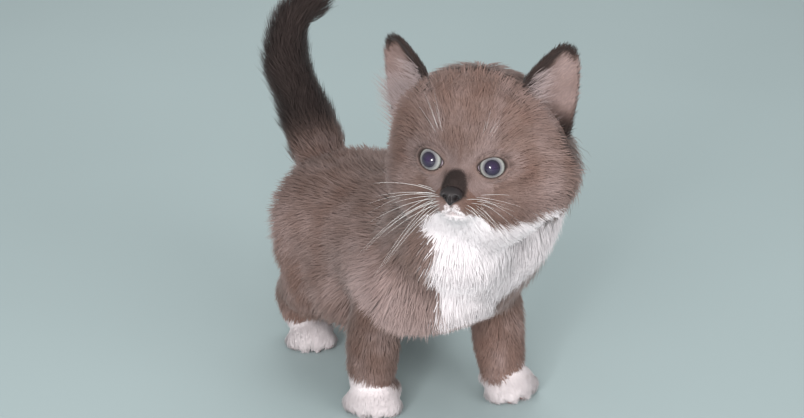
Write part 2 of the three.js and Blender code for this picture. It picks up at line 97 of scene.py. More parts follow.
def node_middle(node):
    """The middle of a node of the frame, in millimetres."""
    low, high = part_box(node)
    return (np.array(low) + np.array(high)) / 2 / MM


def unit(ways):
    """Ways with a length of one."""
    ways = np.asarray(ways, float)
    return ways / np.maximum(np.linalg.norm(ways, axis=-1, keepdims=True), 1e-9)


# The head's own left, front and top, taken from the two eyeballs
EYE_MIDDLES = {1: node_middle("eye_left"), -1: node_middle("eye_right")}
HEAD_LEFT = unit(EYE_MIDDLES[1] - EYE_MIDDLES[-1])
FACE_LEVEL = np.array([HEAD_LEFT[1], -HEAD_LEFT[0], 0.0])
HEAD_FRONT = FACE_LEVEL * math.cos(HEAD_LIFT) + UP * math.sin(HEAD_LIFT)
HEAD_TOP = UP * math.cos(HEAD_LIFT) - FACE_LEVEL * math.sin(HEAD_LIFT)
HEAD_AXES = np.array([HEAD_LEFT, HEAD_FRONT, HEAD_TOP])
FLOOR_POINT = (EYE_MIDDLES[1] + EYE_MIDDLES[-1]) / 2 - HEAD_FRONT * EYE_DEPTH - HEAD_PLACE


def head_way(ways):
    """From the head's left, front, top to the body's axes."""
    return np.asarray(ways, float) @ HEAD_AXES


def head_point(places):
    return head_way(places) + HEAD_PLACE


def in_head(points):
    """From the body's axes to the head's left, front, top."""
    return (points - HEAD_PLACE) @ HEAD_AXES.T


def smoothstep(x, low, high):
    share = np.clip((x - low) / (high - low), 0, 1)
    return share * share * (3 - 2 * share)


def degrees_apart(ways, way):
    return np.degrees(np.arccos(np.clip(ways @ unit(way), -1, 1)))


def ridge(x, middle, half):
    """1 at the middle, fading out on both sides."""
    return np.exp(-(((x - middle) / half) ** 2))


def spot(points, centre, half):
    """1 at the centre of a spot, fading out past its half sizes."""
    return np.exp(-(np.linalg.norm((points - centre) / half, axis=1) ** 2))


def patch(points, centre, half, inner=0.75, outer=1.1):
    """1 in a patch, with a soft edge between two shares of its half sizes."""
    return 1 - smoothstep(np.linalg.norm((points - centre) / half, axis=1), inner, outer)


# Curves and limbs
class Spine:
    """A smooth curve through a few points, read by its share of the length."""

    def __init__(self, points, steps=80):
        knots = np.array(points, float)
        knots = np.vstack([2 * knots[0] - knots[1], knots, 2 * knots[-1] - knots[-2]])
        share = np.linspace(0, 1, steps, endpoint=False)[:, None]
        runs = []
        for before, start, stop, after in zip(knots, knots[1:], knots[2:], knots[3:]):
            pairs = ((before, start), (start, stop), (stop, after))
            d0, d1, d2 = (np.linalg.norm(b - a) ** 0.5 for a, b in pairs)
            leave = ((start - before) / d0 - (stop - before) / (d0 + d1) + (stop - start) / d1) * d1
            arrive = ((stop - start) / d1 - (after - start) / (d1 + d2) + (after - stop) / d2) * d1
            square = 3 * (stop - start) - 2 * leave - arrive
            cube = 2 * (start - stop) + leave + arrive
            runs.append(start + leave * share + square * share**2 + cube * share**3)
        self.points = np.vstack([*runs, knots[-2][None]])
        gaps = np.linalg.norm(np.diff(self.points, axis=0), axis=1)
        self.share = np.append(0, np.cumsum(gaps)) / gaps.sum()
        self.ways = unit(np.gradient(self.points, axis=0))

    def read(self, t, values):
        return np.stack([np.interp(t, self.share, values[:, k]) for k in range(3)], -1)

    def at(self, t):
        return self.read(t, self.points)

    def way(self, t):
        return unit(self.read(t, self.ways))


class Limb:
    """A form along a spine. Its stations hold [share, half width, half height above, half height below]."""

    def __init__(self, points, stations, topward, inset, domes=(0.1, 0.1), boxy=1.0):
        self.spine = Spine(points)
        self.stations = np.array(stations, float)
        self.topward = np.array(topward, float)
        self.inset = inset
        self.domes = domes
        self.boxy = boxy

    def sizes(self, t):
        marks = self.stations[:, 0]
        i = np.clip(np.searchsorted(marks, t, side="right") - 1, 0, len(marks) - 2)
        share = smoothstep((t - marks[i]) / (marks[i + 1] - marks[i]), 0, 1)[:, None]
        low, high = self.stations[i, 1:], self.stations[i + 1, 1:]
        return low + (high - low) * share - self.inset

    def at(self, t, angle):
        along = self.spine.way(t)
        side = unit(np.cross(along, self.topward))
        top = unit(np.cross(side, along))
        sizes = self.sizes(t)
        across, up = np.cos(angle), np.sin(angle)
        high = np.where(up > 0, sizes[:, 1], sizes[:, 2])
        shares = zip((t, 1 - t), self.domes)
        ends = [np.sqrt(np.maximum(0, 1 - np.maximum(0, 1 - s / d) ** 2)) for s, d in shares]
        fullness = np.maximum(0.03, ends[0] * ends[1])
        reach_side = np.sign(across) * np.abs(across) ** self.boxy * sizes[:, 0] * fullness
        reach_up = np.sign(up) * np.abs(up) ** self.boxy * high * fullness
        return self.spine.at(t) + side * reach_side[:, None] + top * reach_up[:, None]


def torso_limb():
    length, depth = BODY_LENGTH, HALF_DEPTH
    inset_ends = 7.0
    return Limb(
        [
            (0, CHEST_FRONT + inset_ends, MID_HEIGHT + 9),
            (0, CHEST_FRONT + 0.3 * length, MID_HEIGHT + 3),
            (0, CHEST_FRONT + 0.65 * length, MID_HEIGHT),
            (0, CHEST_FRONT + length - inset_ends, MID_HEIGHT - 2),
        ],
        [
            (0, 0.46 * BODY_WIDTH, depth - 5, depth - 6),
            (0.17, BODY_WIDTH / 2 + 6, depth, depth - 1),
            (0.5, BODY_WIDTH / 2 - 1, depth, depth),
            (0.8, HIP_WIDTH / 2, depth, depth - 2),
            (1, 0.42 * HIP_WIDTH, depth - 3, depth - 5),
        ],
        UP, COAT_DEPTH["torso"], domes=(0.2, 0.2), boxy=0.85,
    )


def neck_limb():
    return Limb(
        [(2, 2, 78), (7, -12, 98), (8, -18, 116), (2, -26, 136)],
        [(0, 44, 32, 38), (0.5, 46, 31, 37), (1, 42, 21, 30)],
        (0, 1, 0), COAT_DEPTH["neck"], domes=(0.1, 0.38),
    )


TAIL_RUN = [(0, 0, 0), (-4, 15, 26), (-9, 25, 54), (-5, 28, 74), (7, 26, 84)]


def tail_limb():
    halves = [(0, 20), (0.18, 16), (0.5, 13.5), (1, 10.5)]
    return Limb(
        [np.array(p) + TAIL_BASE for p in TAIL_RUN],
        [(t, half, half, half) for t, half in halves],
        (1, 0, 0), COAT_DEPTH["tail"],
    )


def foreleg_limb(side, paw):
    x, y = paw
    elbow = 0.4 * y + 6.6
    return Limb(
        [(side * 26, 2, 72), (side * 31, elbow, 46), (x, y + 3, 15), (x, y, 7)],
        [
            (0, LEG_HALF + 1, LEG_HALF + 4, LEG_HALF + 4),
            (0.45, LEG_HALF + 1, LEG_HALF + 3, LEG_HALF + 3),
            (1, LEG_HALF, LEG_HALF, LEG_HALF),
        ],
        (0, -1, 0), COAT_DEPTH["leg"],
    )


def hindleg_limb(side, paw):
    x, y = paw
    return Limb(
        [(side * 22, 90, 66), (side * 29, 76, 44), (0.3 * side * 29 + 0.7 * x, y + 15, 25), (x, y + 3, 8)],
        [
            (0, LEG_HALF + 6, LEG_HALF + 14, LEG_HALF + 14),
            (0.35, LEG_HALF + 3, LEG_HALF + 8, LEG_HALF + 8),
            (0.7, LEG_HALF - 0.5, LEG_HALF - 0.5, LEG_HALF - 0.5),
            (1, LEG_HALF - 1, LEG_HALF - 1, LEG_HALF - 1),
        ],
        (0, -1, 0), COAT_DEPTH["leg"],
    )


# Swellings and hollows of the face: the way they face, their height and their spread in degrees
FACE_FORMS = [
    ((0, 29, -15), 8.5, 19), ((0, 30, -8), 3.2, 9), ((0, 20, 16), 1.2, 18), ((0, 25, -25), 3.2, 10),
    *(((side * 6.5, 28, -17), 2.4, 9) for side in (1, -1)),
    *(((side * 14, 24, 0), -2.0, 13) for side in (1, -1)),
    *(((side * 11, 22, 12), 1.2, 12) for side in (1, -1)),
    *(((side * 24, 10, -14), 3.5, 24) for side in (1, -1)),
    ((37, -11, 5), 3.5, 20),
]


def head_radius(ways):
    left, front, top = ways.T
    depth = np.where(front > 0, SKULL["front"], SKULL["back"])
    radius = 1 / np.sqrt((left / SKULL["side"]) ** 2 + (front / depth) ** 2 + (top / SKULL["top"]) ** 2)
    away = smoothstep(degrees_apart(ways, (0, 1, -0.1)), 38, 80)
    right_side = smoothstep(-left, 0.3, 0.9) * smoothstep(0.6 - top, 0, 0.3)
    radius = radius + away * (FLUFF_UNDER_COAT - 2.2 * right_side) * np.where(top < -0.5, 0.5, 1)
    for way, height, spread in FACE_FORMS:
        radius = radius + height * np.exp(-((degrees_apart(ways, way) / spread) ** 2))
    return radius


def on_head(places):
    """Points of the head's surface in the ways of some places, in the body's axes."""
    ways = unit(np.atleast_2d(places))
    return head_point(ways * (head_radius(ways) - COAT_DEPTH["head"])[:, None])


# Meshes
def to_scene(points):
    return (np.asarray(points) + FLOOR_POINT) * MM


def from_scene(points):
    return np.asarray(points) / MM - FLOOR_POINT


def read_values(items, key, width=3, kind=float):
    values = np.empty(len(items) * width, kind)
    items.foreach_get(key, values)
    return values.reshape(-1, width)


def read_points(piece):
    return read_values(piece.data.vertices, "co")


def read_normals(piece):
    return read_values(piece.data.vertex_normals, "vector")


def write_points(piece, points):
    piece.data.vertices.foreach_set("co", np.ascontiguousarray(points, dtype=np.float32).ravel())
    piece.data.update()


def rename(piece, name):
    piece.name = name
    piece.data.name = name
    return piece


def make_active(piece):
    bpy.ops.object.select_all(action="DESELECT")
    piece.select_set(True)
    bpy.context.view_layer.objects.active = piece


def turn_faces_out(piece):
    make_active(piece)
    bpy.ops.object.mode_set(mode="EDIT")
    bpy.ops.mesh.select_all(action="SELECT")
    bpy.ops.mesh.normals_make_consistent(inside=False)
    bpy.ops.object.mode_set(mode="OBJECT")


def ball_piece(name, segments, rings, shape):
    """A ball carried by shape(places on a unit ball) to places in millimetres, and its points before."""
    bpy.ops.object.select_all(action="DESELECT")
    bpy.ops.mesh.primitive_uv_sphere_add(segments=segments, ring_count=rings, radius=1)
    piece = rename(bpy.context.active_object, name)
    ball = read_points(piece)
    write_points(piece, to_scene(shape(ball)))
    turn_faces_out(piece)
    return piece, ball


def limb_places(places):
    """The share along a limb and the angle round it for the points of a unit ball."""
    return (1 - places[:, 2]) / 2, np.arctan2(places[:, 1], places[:, 0])


def apply_modifier(piece, kind, **settings):
    make_active(piece)
    modifier = piece.modifiers.new(kind.title(), kind)
    for key, value in settings.items():
        setattr(modifier, key, value)
    bpy.ops.object.modifier_apply(modifier=modifier.name)


def join_pieces(pieces, name):
    bpy.ops.object.select_all(action="DESELECT")
    for piece in pieces:
        piece.select_set(True)
    bpy.context.view_layer.objects.active = pieces[0]
    bpy.ops.object.join()
    return rename(bpy.context.active_object, name)


def subdivide_where(piece, wanted):
    """Cuts the faces whose middles are wanted into four."""
    chosen = wanted(from_scene(read_values(piece.data.polygons, "center")))
    make_active(piece)
    bpy.ops.object.mode_set(mode="EDIT")
    bpy.ops.mesh.select_mode(type="FACE")
    bpy.ops.mesh.select_all(action="DESELECT")
    bpy.ops.object.mode_set(mode="OBJECT")
    piece.data.polygons.foreach_set("select", chosen)
    bpy.ops.object.mode_set(mode="EDIT")
    bpy.ops.mesh.subdivide(number_cuts=1, smoothness=0)
    bpy.ops.object.mode_set(mode="OBJECT")


def finish_piece(piece, material, slot, *nodes, smooth=True):
    """Smooth faces, material, body and the nodes that the piece stands for. The slot is not used."""
    if smooth:
        make_active(piece)
        bpy.ops.object.shade_smooth()
    piece.data.materials.clear()
    piece.data.materials.append(material)
    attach(piece, "root")
    if nodes:
        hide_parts(*nodes)


# Coat: how the fur lies, how long, high and wide its hairs are, and how many grow on a square millimetre
FIELDS = ("length", "rise", "width", "density")
COAT = {
    "torso": (17.0, 6.4, 0.55, 1.28),
    "neck": (18.0, 6.6, 0.42, 2.45),
    "tail": (15.0, 6.6, 0.5, 2.2),
    "leg": (11.0, 3.8, 0.44, 1.75),
    "paw": (4.2, 1.1, 0.34, 2.7),
    "ear": (2.0, 0.5, 0.3, 3.3),
}
REGIONS = ["head", "neck", "torso", "tail", *LEGS, "ears"]


def region_is(regions, *names):
    return np.isin(regions, [REGIONS.index(name) for name in names])


class Cloud:
    """Points on the body's forms that say how the coat grows there."""

    def __init__(self):
        self.points, self.normals, self.lies, self.fields, self.regions = [], [], [], [], []

    def add(self, piece, lies, fields, region):
        points = from_scene(read_points(piece))
        count = len(points)
        self.points.append(points)
        self.normals.append(read_normals(piece))
        self.lies.append(np.broadcast_to(lies, (count, 3)))
        self.fields.append(np.broadcast_to(fields, (count, len(FIELDS))))
        self.regions.append(np.full(count, REGIONS.index(region)))

    def read_at(self, points, normals):
        """Lie, fields and region at places on the skin, from the nearest points that face the same way."""
        known = np.vstack(self.points)
        known_normals = np.vstack(self.normals)
        tree = KDTree(len(known))
        for i, point in enumerate(known):
            tree.insert(point, i)
        tree.balance()
        nearest = 5
        found = np.array([[hit[1] for hit in tree.find_n(p, nearest)] for p in points])
        gaps = np.linalg.norm(known[found] - points[:, None], axis=2)
        agree = np.einsum("nkc,nc->nk", known_normals[found], normals)
        weights = np.maximum(agree, 0.02) / (gaps + 0.4) ** 2
        weights /= weights.sum(1, keepdims=True)
        lies = np.einsum("nk,nkc->nc", weights, np.vstack(self.lies)[found])
        fields = np.einsum("nk,nkc->nc", weights, np.vstack(self.fields)[found])
        best = np.take_along_axis(found, weights.argmax(1)[:, None], 1)[:, 0]
        return lies, fields, np.concatenate(self.regions)[best]


def add_limb_skin(cloud, name, limb, region, lie_at, fields_at, segments=36, rings=30):
    """A limb's form, and how the coat grows on it."""
    piece, ball = ball_piece(name, segments, rings, lambda ball: limb.at(*limb_places(ball)))
    t, _angle = limb_places(ball)
    normals = read_normals(piece)
    cloud.add(piece, unit(lie_at(normals, limb.spine.way(t))), fields_at(t, normals), region)
    return piece


def back_and_down(normals, _along):
    fall = -0.3 - 0.6 * np.abs(normals[:, 0]) - np.abs(normals[:, 1])
    return np.stack([np.zeros_like(fall), np.ones_like(fall), fall], 1)


def downward(normals, _along):
    return np.tile((0.0, 0.12, -1.0), (len(normals), 1))


def neck_lie(normals, along):
    """Down over the chest, back over the shoulders on the sides and the nape."""
    back = smoothstep(normals[:, 1], -0.6, 0.3)[:, None]
    return unit(downward(normals, along)) * (1 - back) + np.array([0.0, 0.78, -0.62]) * back


def tailward(_normals, along):
    return along + 0.1 * UP


def torso_lie(normals, along):
    chest = smoothstep(-normals[:, 1], 0.25, 0.75)[:, None]
    return unit(back_and_down(normals, along)) * (1 - chest) + unit(downward(normals, along)) * chest


def torso_fields(t, normals):
    fields = np.tile(COAT["torso"], (len(t), 1))
    chest = 1 - smoothstep(t, 0.05, 0.3)
    belly = smoothstep(-normals[:, 2], 0.1, 0.7)
    low_front = (1 - smoothstep(t, 0.2, 0.4)) * smoothstep(-normals[:, 2], -0.1, 0.5)
    flank = smoothstep(t, 0.3, 0.45) * (1 - smoothstep(t, 0.75, 0.9)) * smoothstep(-normals[:, 2], -0.2, 0.3)
    fields[:, 0] += 2 * chest + 3 * belly + 4 * flank - 2 * smoothstep(normals[:, 2], 0.3, 0.9)
    fields[:, 0] *= 1 - 0.5 * low_front
    fields[:, 1] *= 1 - 0.6 * low_front
    fields[:, 2] -= 0.08 * chest
    fields[:, 3] += 0.7 * chest - 0.3 * belly
    return fields


def leg_fields(t, _normals):
    fields = np.tile(COAT["leg"], (len(t), 1))
    low = smoothstep(t, 0.35, 0.9)
    fields[:, 0] -= 5.2 * low
    fields[:, 1] -= 1.8 * low
    fields[:, 3] += 0.4 * low
    return fields


def fold_skin(cloud, name, centre, half, region, lie_at):
    """A rounded fold of skin, and how the coat grows on it."""
    piece = ball_piece(name, 32, 24, lambda ball: ball * half + centre)[0]
    cloud.add(piece, unit(lie_at(read_normals(piece), UP)), COAT[region], region)
    return piece


def plain_fields(key):
    return lambda t, _normals: np.tile(COAT[key], (len(t), 1))


def face_grid(ball):
    """Ways from the middle of the head for the points of a ball, closest together round the nose."""
    nose_tilt = math.radians(-22)
    away = math.pi * (np.arccos(np.clip(ball[:, 2], -1, 1)) / math.pi) ** 1.25
    turn = np.arctan2(ball[:, 1], ball[:, 0])
    left = np.sin(away) * np.cos(turn)
    front, top = np.cos(away), np.sin(away) * np.sin(turn)
    tilted_front = front * math.cos(nose_tilt) - top * math.sin(nose_tilt)
    tilted_top = front * math.sin(nose_tilt) + top * math.cos(nose_tilt)
    return np.stack([left, tilted_front, tilted_top], 1)


def head_lies(ways, away, crown):
    """The fur of the head runs away from the nose, then down the cheeks and back over the neck."""
    nose = unit(NOSE_WAY)
    outwards = unit(ways - (ways @ nose)[:, None] * nose)
    flow = unit(outwards - (outwards * ways).sum(1, keepdims=True) * ways)
    flow = flow * (1 - smoothstep(away, 95, 135))[:, None]
    fall = (smoothstep(away, 42, 100) * 1.2 * (1 - 0.6 * crown))[:, None]
    back = (smoothstep(away, 60, 110) * 0.6)[:, None]
    return unit(flow + fall * np.array([0, 0, -1.0]) + back * np.array([0, -1.0, 0]))


def head_skin(cloud):
    """The ball of the head, with its face, and the short fur of the face that lengthens away from it."""
    piece, ball = ball_piece("head_form", 96, 72, lambda ball: on_head(face_grid(ball)))
    ways = face_grid(ball)
    surface = on_head(ways)
    local = in_head(surface)
    away = degrees_apart(ways, NOSE_WAY)
    crown = smoothstep(ways[:, 2], 0.35, 0.8)
    jaw = smoothstep(-ways[:, 2], 0.55, 0.85)
    puff = spot(local, (37, -11, 4), 14)
    flat = spot(local, (-36, 2, 0), (14, 20, 24))
    to_ears = [np.linalg.norm(surface - head_point((side * 36, 0, 17)), axis=1) for side in (1, -1)]
    off_ear = 1 - 0.5 * (1 - smoothstep(np.minimum(*to_ears), 7, 17))

    length = np.interp(away, [0, 12, 26, 42, 60, 80, 180], [1.3, 2.0, 3.6, 6.2, 9.5, 14.5, 17])
    length = (length * (1 - 0.35 * crown) + 4 * jaw) * (1 - 0.1 * puff - 0.25 * flat) * off_ear
    rise = np.interp(away, [0, 26, 42, 60, 80], [0.35, 0.9, 1.5, 3.0, 5.2])
    rise = ((rise * (1 - 0.55 * crown) + 1.0 * jaw) * (1 - 0.6 * flat) + 5.0 * puff) * off_ear
    width = np.interp(away, [0, 26, 55, 90], [0.21, 0.25, 0.4, 0.56])
    density = np.interp(away, [0, 26, 50, 90], [9.5, 8.5, 3.8, 2.0]) * (1 + 0.6 * puff)
    fields = np.stack([length, rise, width, density], 1)
    cloud.add(piece, head_way(head_lies(ways, away, crown)), fields, "head")
    return piece


# Each toe's place across and ahead of the middle of its paw, as shares of the paw's half width
PAW_TOES = [(-0.68, 0.38), (-0.25, 0.62), (0.25, 0.62), (0.68, 0.38)]
TOE_GAPS = (-0.47, 0, 0.47)


def paw_place(leg, point):
    """A point of a paw laid out with its toes to +Y, set where the paw stands."""
    turn = math.pi + math.radians(leg["toes"])
    x, y, z = np.asarray(point, float).T
    return np.stack(
        [
            math.cos(turn) * x - math.sin(turn) * y + leg["paw"][0],
            math.sin(turn) * x + math.cos(turn) * y + leg["paw"][1],
            z,
        ],
        -1,
    )


def paw_sizes(leg):
    """Half the width of a paw, and its height."""
    return (13.0, 8.0) if leg["hind"] else (14.0, 9.0)


def paw_skin(cloud, name, leg):
    half, high = paw_sizes(leg)
    balls = [((0, 0.5, high), (0.95 * half, 1.08 * half, high - 0.6))]
    for across, reach in PAW_TOES:
        balls.append(((half * across, half * reach, 0.56 * high), (0.42 * half, 0.52 * half, 0.69 * high)))
    pieces = []
    toeward = paw_place(leg, (0, 1, 0)) - paw_place(leg, (0, 0, 0))
    for i, (centre, sizes) in enumerate(balls):
        held = np.array(sizes) - COAT_DEPTH["paw"]
        piece = ball_piece(
            f"paw_form_{name}_{i}", 20, 14, lambda ball: paw_place(leg, ball * held + centre))[0]
        normals = read_normals(piece)
        fields = np.tile(COAT["paw"], (len(normals), 1))
        fields[:, 3] *= 1 - smoothstep(-normals[:, 2], 0.5, 0.85)
        cloud.add(piece, unit(toeward - 0.5 * UP), fields, name)
        pieces.append(piece)
    return pieces


def ear_frame(side):
    """The base of an ear, its run to the tip, and the ways it opens and crosses."""
    base = head_point((side * EAR_BASE[0], EAR_BASE[1], EAR_BASE[2]))
    run = head_point(EAR_TIPS[side]) - base
    rise = unit(run)
    facing = head_way((side * 0.6, 0.78, 0.1))
    opening = unit(facing - facing @ rise * rise)
    return base, run, rise, opening, np.cross(rise, opening)


def ear_half(t, least=0.0):
    """Half the width of an ear at a share of its height."""
    return EAR_WIDTH / 2 * np.sqrt(np.clip(1 - np.clip(t, 0, 1) ** 2.4, least, 1))


def ear_skin(cloud, side):
    """An ear's cup: a curved sheet, rolled round its back, with a real thickness."""
    base, run, rise, opening, across = ear_frame(side)
    thickness = 1.3
    sunk = -0.3
    thinnest = 0.6
    bpy.ops.object.select_all(action="DESELECT")
    bpy.ops.mesh.primitive_grid_add(x_subdivisions=30, y_subdivisions=34, size=2)
    piece = bpy.context.active_object
    grid = read_points(piece)
    t = sunk + (1 - sunk) * (1 - (1 - (grid[:, 1] + 1) / 2) ** 1.3)
    held = np.clip(t, 0, 1)
    angle = np.radians(-90 + 84 * grid[:, 0])
    half = np.maximum(thinnest, ear_half(held) * (1 - 0.2 * held) + 0.9 - COAT_DEPTH["ear"])
    deep = np.maximum(thinnest, EAR_DEPTH * (1 - 0.72 * held) - COAT_DEPTH["ear"])
    points = base + run * np.minimum(t, 0.985)[:, None]
    points = points + across * (np.cos(angle) * half)[:, None] + opening * (np.sin(angle) * deep)[:, None]
    write_points(piece, to_scene(points))
    apply_modifier(piece, "SOLIDIFY", thickness=thickness * MM, offset=-1.0)
    turn_faces_out(piece)
    apply_modifier(piece, "SMOOTH", factor=0.5, iterations=2)

    # The thickened sheet holds the grid's points twice, once for each face of the cup
    normals = read_normals(piece)
    first_face = np.arange(len(normals)) < len(grid)
    opens = normals @ opening > 0
    inside = first_face if opens[first_face].mean() > 0.5 else ~first_face
    low = 1 - np.tile(held, 2)
    rim = smoothstep(np.tile(np.maximum(np.abs(grid[:, 0]), held), 2), 0.7, 0.95)
    fields = np.tile(COAT["ear"], (len(normals), 1))
    fields[:, 0] += np.where(inside, 2.0 * rim, 1.0 + 3.0 * low)
    fields[:, 1] += np.where(inside, 0.3 * rim, 0.3 + 0.8 * low)
    fields[:, 3] *= np.where(inside, 0.55 + 0.45 * rim, 1.0)
    lies = np.where(inside[:, None], rise + 0.5 * side * HEAD_LEFT, rise - 0.1 * opening)
    cloud.add(piece, unit(lies), fields, "ears")
    return piece


# Eyelids: angles round each eyeball, in degrees, measured from where it looks
LID_OUTER = 38.0
LID_INNER = 45.0
LID_UPPER = 28.0
LID_LOWER = 29.5
LID_SLANT = 5.0
GAZE_TURN = math.radians(14)


def eye_axes(side, turn=EYE_TURN):
    """The eye's own outward, forward and top directions in the head's axes."""
    forward = np.array([side * math.sin(turn), math.cos(turn), 0.0])
    outward = np.array([side * math.cos(turn), -math.sin(turn), 0.0])
    return np.array([outward, forward, (0.0, 0.0, 1.0)])


def eye_place(side):
    return (EYE_MIDDLES[side] - FLOOR_POINT - HEAD_PLACE) @ HEAD_AXES.T


def lid_measure(head_points, side):
    """How far each point is from the middle of the opening, 1 at its edge, how far it is from the eye's
    centre, and where it is in the eye's own axes."""
    own = (head_points - eye_place(side)) @ eye_axes(side).T
    reach = np.linalg.norm(own, axis=1)
    across = np.degrees(np.arctan2(own[:, 0], own[:, 1]))
    rise = np.degrees(np.arctan2(own[:, 2], np.hypot(own[:, 0], own[:, 1])))
    share = across / np.where(across > 0, LID_OUTER, LID_INNER)
    rise = rise - LID_SLANT * share
    high = np.where(rise > 0, LID_UPPER, LID_LOWER)
    point = np.where(across > 0, 1.9, 1.4)
    edge = np.sqrt(share**2 + np.abs(rise / high) ** point)
    return edge, reach, own


def shape_lids(points):
    """Draws the skin in behind each eyeball inside its opening, and over it as a thick-edged lid outside."""
    local = in_head(points)
    behind, margin = EYE_RADIUS - 1.6, EYE_RADIUS + 0.75
    for side in (1, -1):
        edge, reach, own = lid_measure(local, side)
        near = (1 - smoothstep(reach, 1.8 * EYE_RADIUS, 2.4 * EYE_RADIUS)) * (own[:, 1] > 0)
        lid = behind + (margin - behind) * smoothstep(edge, 0.96, 1.03)
        lid = lid + 0.7 * smoothstep(edge, 1.03, 1.2)
        crease = 0.45 * ridge(edge, 1.38, 0.07) * (own[:, 2] > 0)
        free = np.maximum(reach, EYE_RADIUS + 0.9)
        share = smoothstep(edge, 1.12, 1.55)
        wanted = lid * (1 - share) + free * share - crease
        scale = (1 + near * (wanted / np.maximum(reach, 1e-6) - 1))[:, None]
        centre = eye_place(side)
        local = centre + (local - centre) * scale
    return head_point(local)


MOUTH_MIDDLE = (0.0, 28.0, -18.0)
MOUTH_REACH = 25.0

# Stands for a gap that is too wide to matter
FAR = 99.0


def mouth_lines():
    """The line of the mouth on the head: down from the nose, then out and a little up on each side."""
    split, parting = (0, 29, -17.5), (0, 27.5, -19.8)
    lines = [Spine(on_head([split, (0, 28.4, -18.6), parting]))]
    for side in (1, -1):
        ways = [parting, (side * 4.5, 26.5, -21.8), (side * 8, 24.4, -20.6), (side * 10.8, 22.3, -18)]
        lines.append(Spine(on_head(ways)))
    return np.vstack([line.points[::6] for line in lines])


def mouth_gap(points):
    """How far each point lies from the line of the mouth."""
    line = mouth_lines()
    gap = np.full(len(points), FAR)
    near = np.linalg.norm(points - line.mean(0), axis=1) < MOUTH_REACH
    gap[near] = np.linalg.norm(points[near][:, None] - line[None], axis=2).min(1)
    return gap


def shape_mouth(points, normals):
    """Sinks the line of the mouth between its two soft lips."""
    gap = mouth_gap(points)
    groove = -1.5 * ridge(gap, 0, 0.75) + 0.5 * ridge(gap, 1.7, 0.9)
    return points + normals * groove[:, None]


def neighbour_mean(values, edges, rounds):
    """Values evened out over the skin, each with its neighbours."""
    a, b = edges.T
    count = len(values)
    number = 1 + np.bincount(a, minlength=count) + np.bincount(b, minlength=count)
    for _ in range(rounds):
        total = values.copy()
        for column in range(values.shape[1]):
            total[:, column] += np.bincount(a, values[b, column], count)
            total[:, column] += np.bincount(b, values[a, column], count)
        values = total / number[:, None]
    return values


def soften_joints(piece, rounds):
    """Evens out the folds where neck, legs and tail leave the torso, but not head, paws and tail."""
    points = from_scene(read_points(piece))
    height = points[:, 2]
    below_jaw = smoothstep(-in_head(points)[:, 2], 23, 29)
    off_head = np.maximum(smoothstep(np.linalg.norm(points - HEAD_PLACE, axis=1), 36, 50), below_jaw)
    above_paws = smoothstep(height, 22, 34)
    rump = 85
    below_tail = np.where(points[:, 1] > rump, 1 - smoothstep(height, 96, 108), 1)
    share = above_paws * off_head * below_tail
    group = piece.vertex_groups.new(name="soft")
    levels = 10
    steps = np.round(share * levels).astype(int)
    for level in range(1, levels + 1):
        group.add(np.flatnonzero(steps == level).tolist(), level / levels, "REPLACE")
    apply_modifier(piece, "SMOOTH", factor=0.5, iterations=rounds, vertex_group=group.name)
    piece.vertex_groups.clear()


# Markings: the bib's edges are bearings round its axis at some heights, the jaw's edge is heights
# across the head, and the tail darkens along a line
BIB_AXIS = (5.0, -8.0)
BIB_RIGHT_EDGE = ([50, 64, 76, 86, 91, 106, 121, 136], [-59, -58, -57, -54, -53, -50, -48, -42])
BIB_LEFT_EDGE = (
    [51, 59, 67, 77, 83, 91, 99, 112, 120, 132, 140],
    [62, 62, 30, 16, 28, 47, 58, 62, 62, 48, 30],
)
BIB_FOOT = 59.0
JAW_EDGE = ([-28, -15, -9, 0, 8, 13, 25, 35, 44], [-33, -24, -21.5, -20, -21, -23.5, -20, -13.5, -8])
TAIL_DARKENS_FROM = (-7, 107, 95)
TAIL_DARKENS_TO = (-0.12, 0.45, 0.88)

# Spots on both sides of the head: centre, half sizes and strength
PALE_SPOTS = [
    ((11, 22, 12), (3, 8, 6), 0.55), ((2, 27, 0), (1.8, 8, 6), 0.6),
    ((30, 8, -14), (10, 12, 9), 0.5), ((27, 7, 24), (8, 9, 9), 0.5),
]
WARM_SPOTS = [((9.5, 25, -15.5), (6, 8, 6), 1.2), ((24, 17, -1), (5, 8, 6), 0.5)]
# The second dark spot is painted shade at the inner corner of each eye
DARK_AND_SHADE_SPOTS = [((6.5, 23, 8), (2, 6, 5), 0.25), ((5.4, 26, -4.5), (1.3, 5, 3), 0.6)]


def both_sides(local, spots):
    """The strongest of some spots and their mirror images."""
    return np.maximum.reduce([
        strength * spot(local * (side, 1, 1), centre, half)
        for side in (1, -1)
        for centre, half, strength in spots
    ])


def lower_lip(local):
    return spot(local, (0.0, 28.5, -20.4), (5.0, 3.5, 1.5))


def upper_lobes(local):
    """The two lobes of the lip under the nose."""
    return np.maximum(*(patch(local, (side * 1.9, 30.6, -17.9), 1, 1.2, 2.3) for side in (1, -1)))


def back_share(points):
    return smoothstep(points[:, 2], 80, 100) * (1 - smoothstep(points[:, 1], 70, 95))


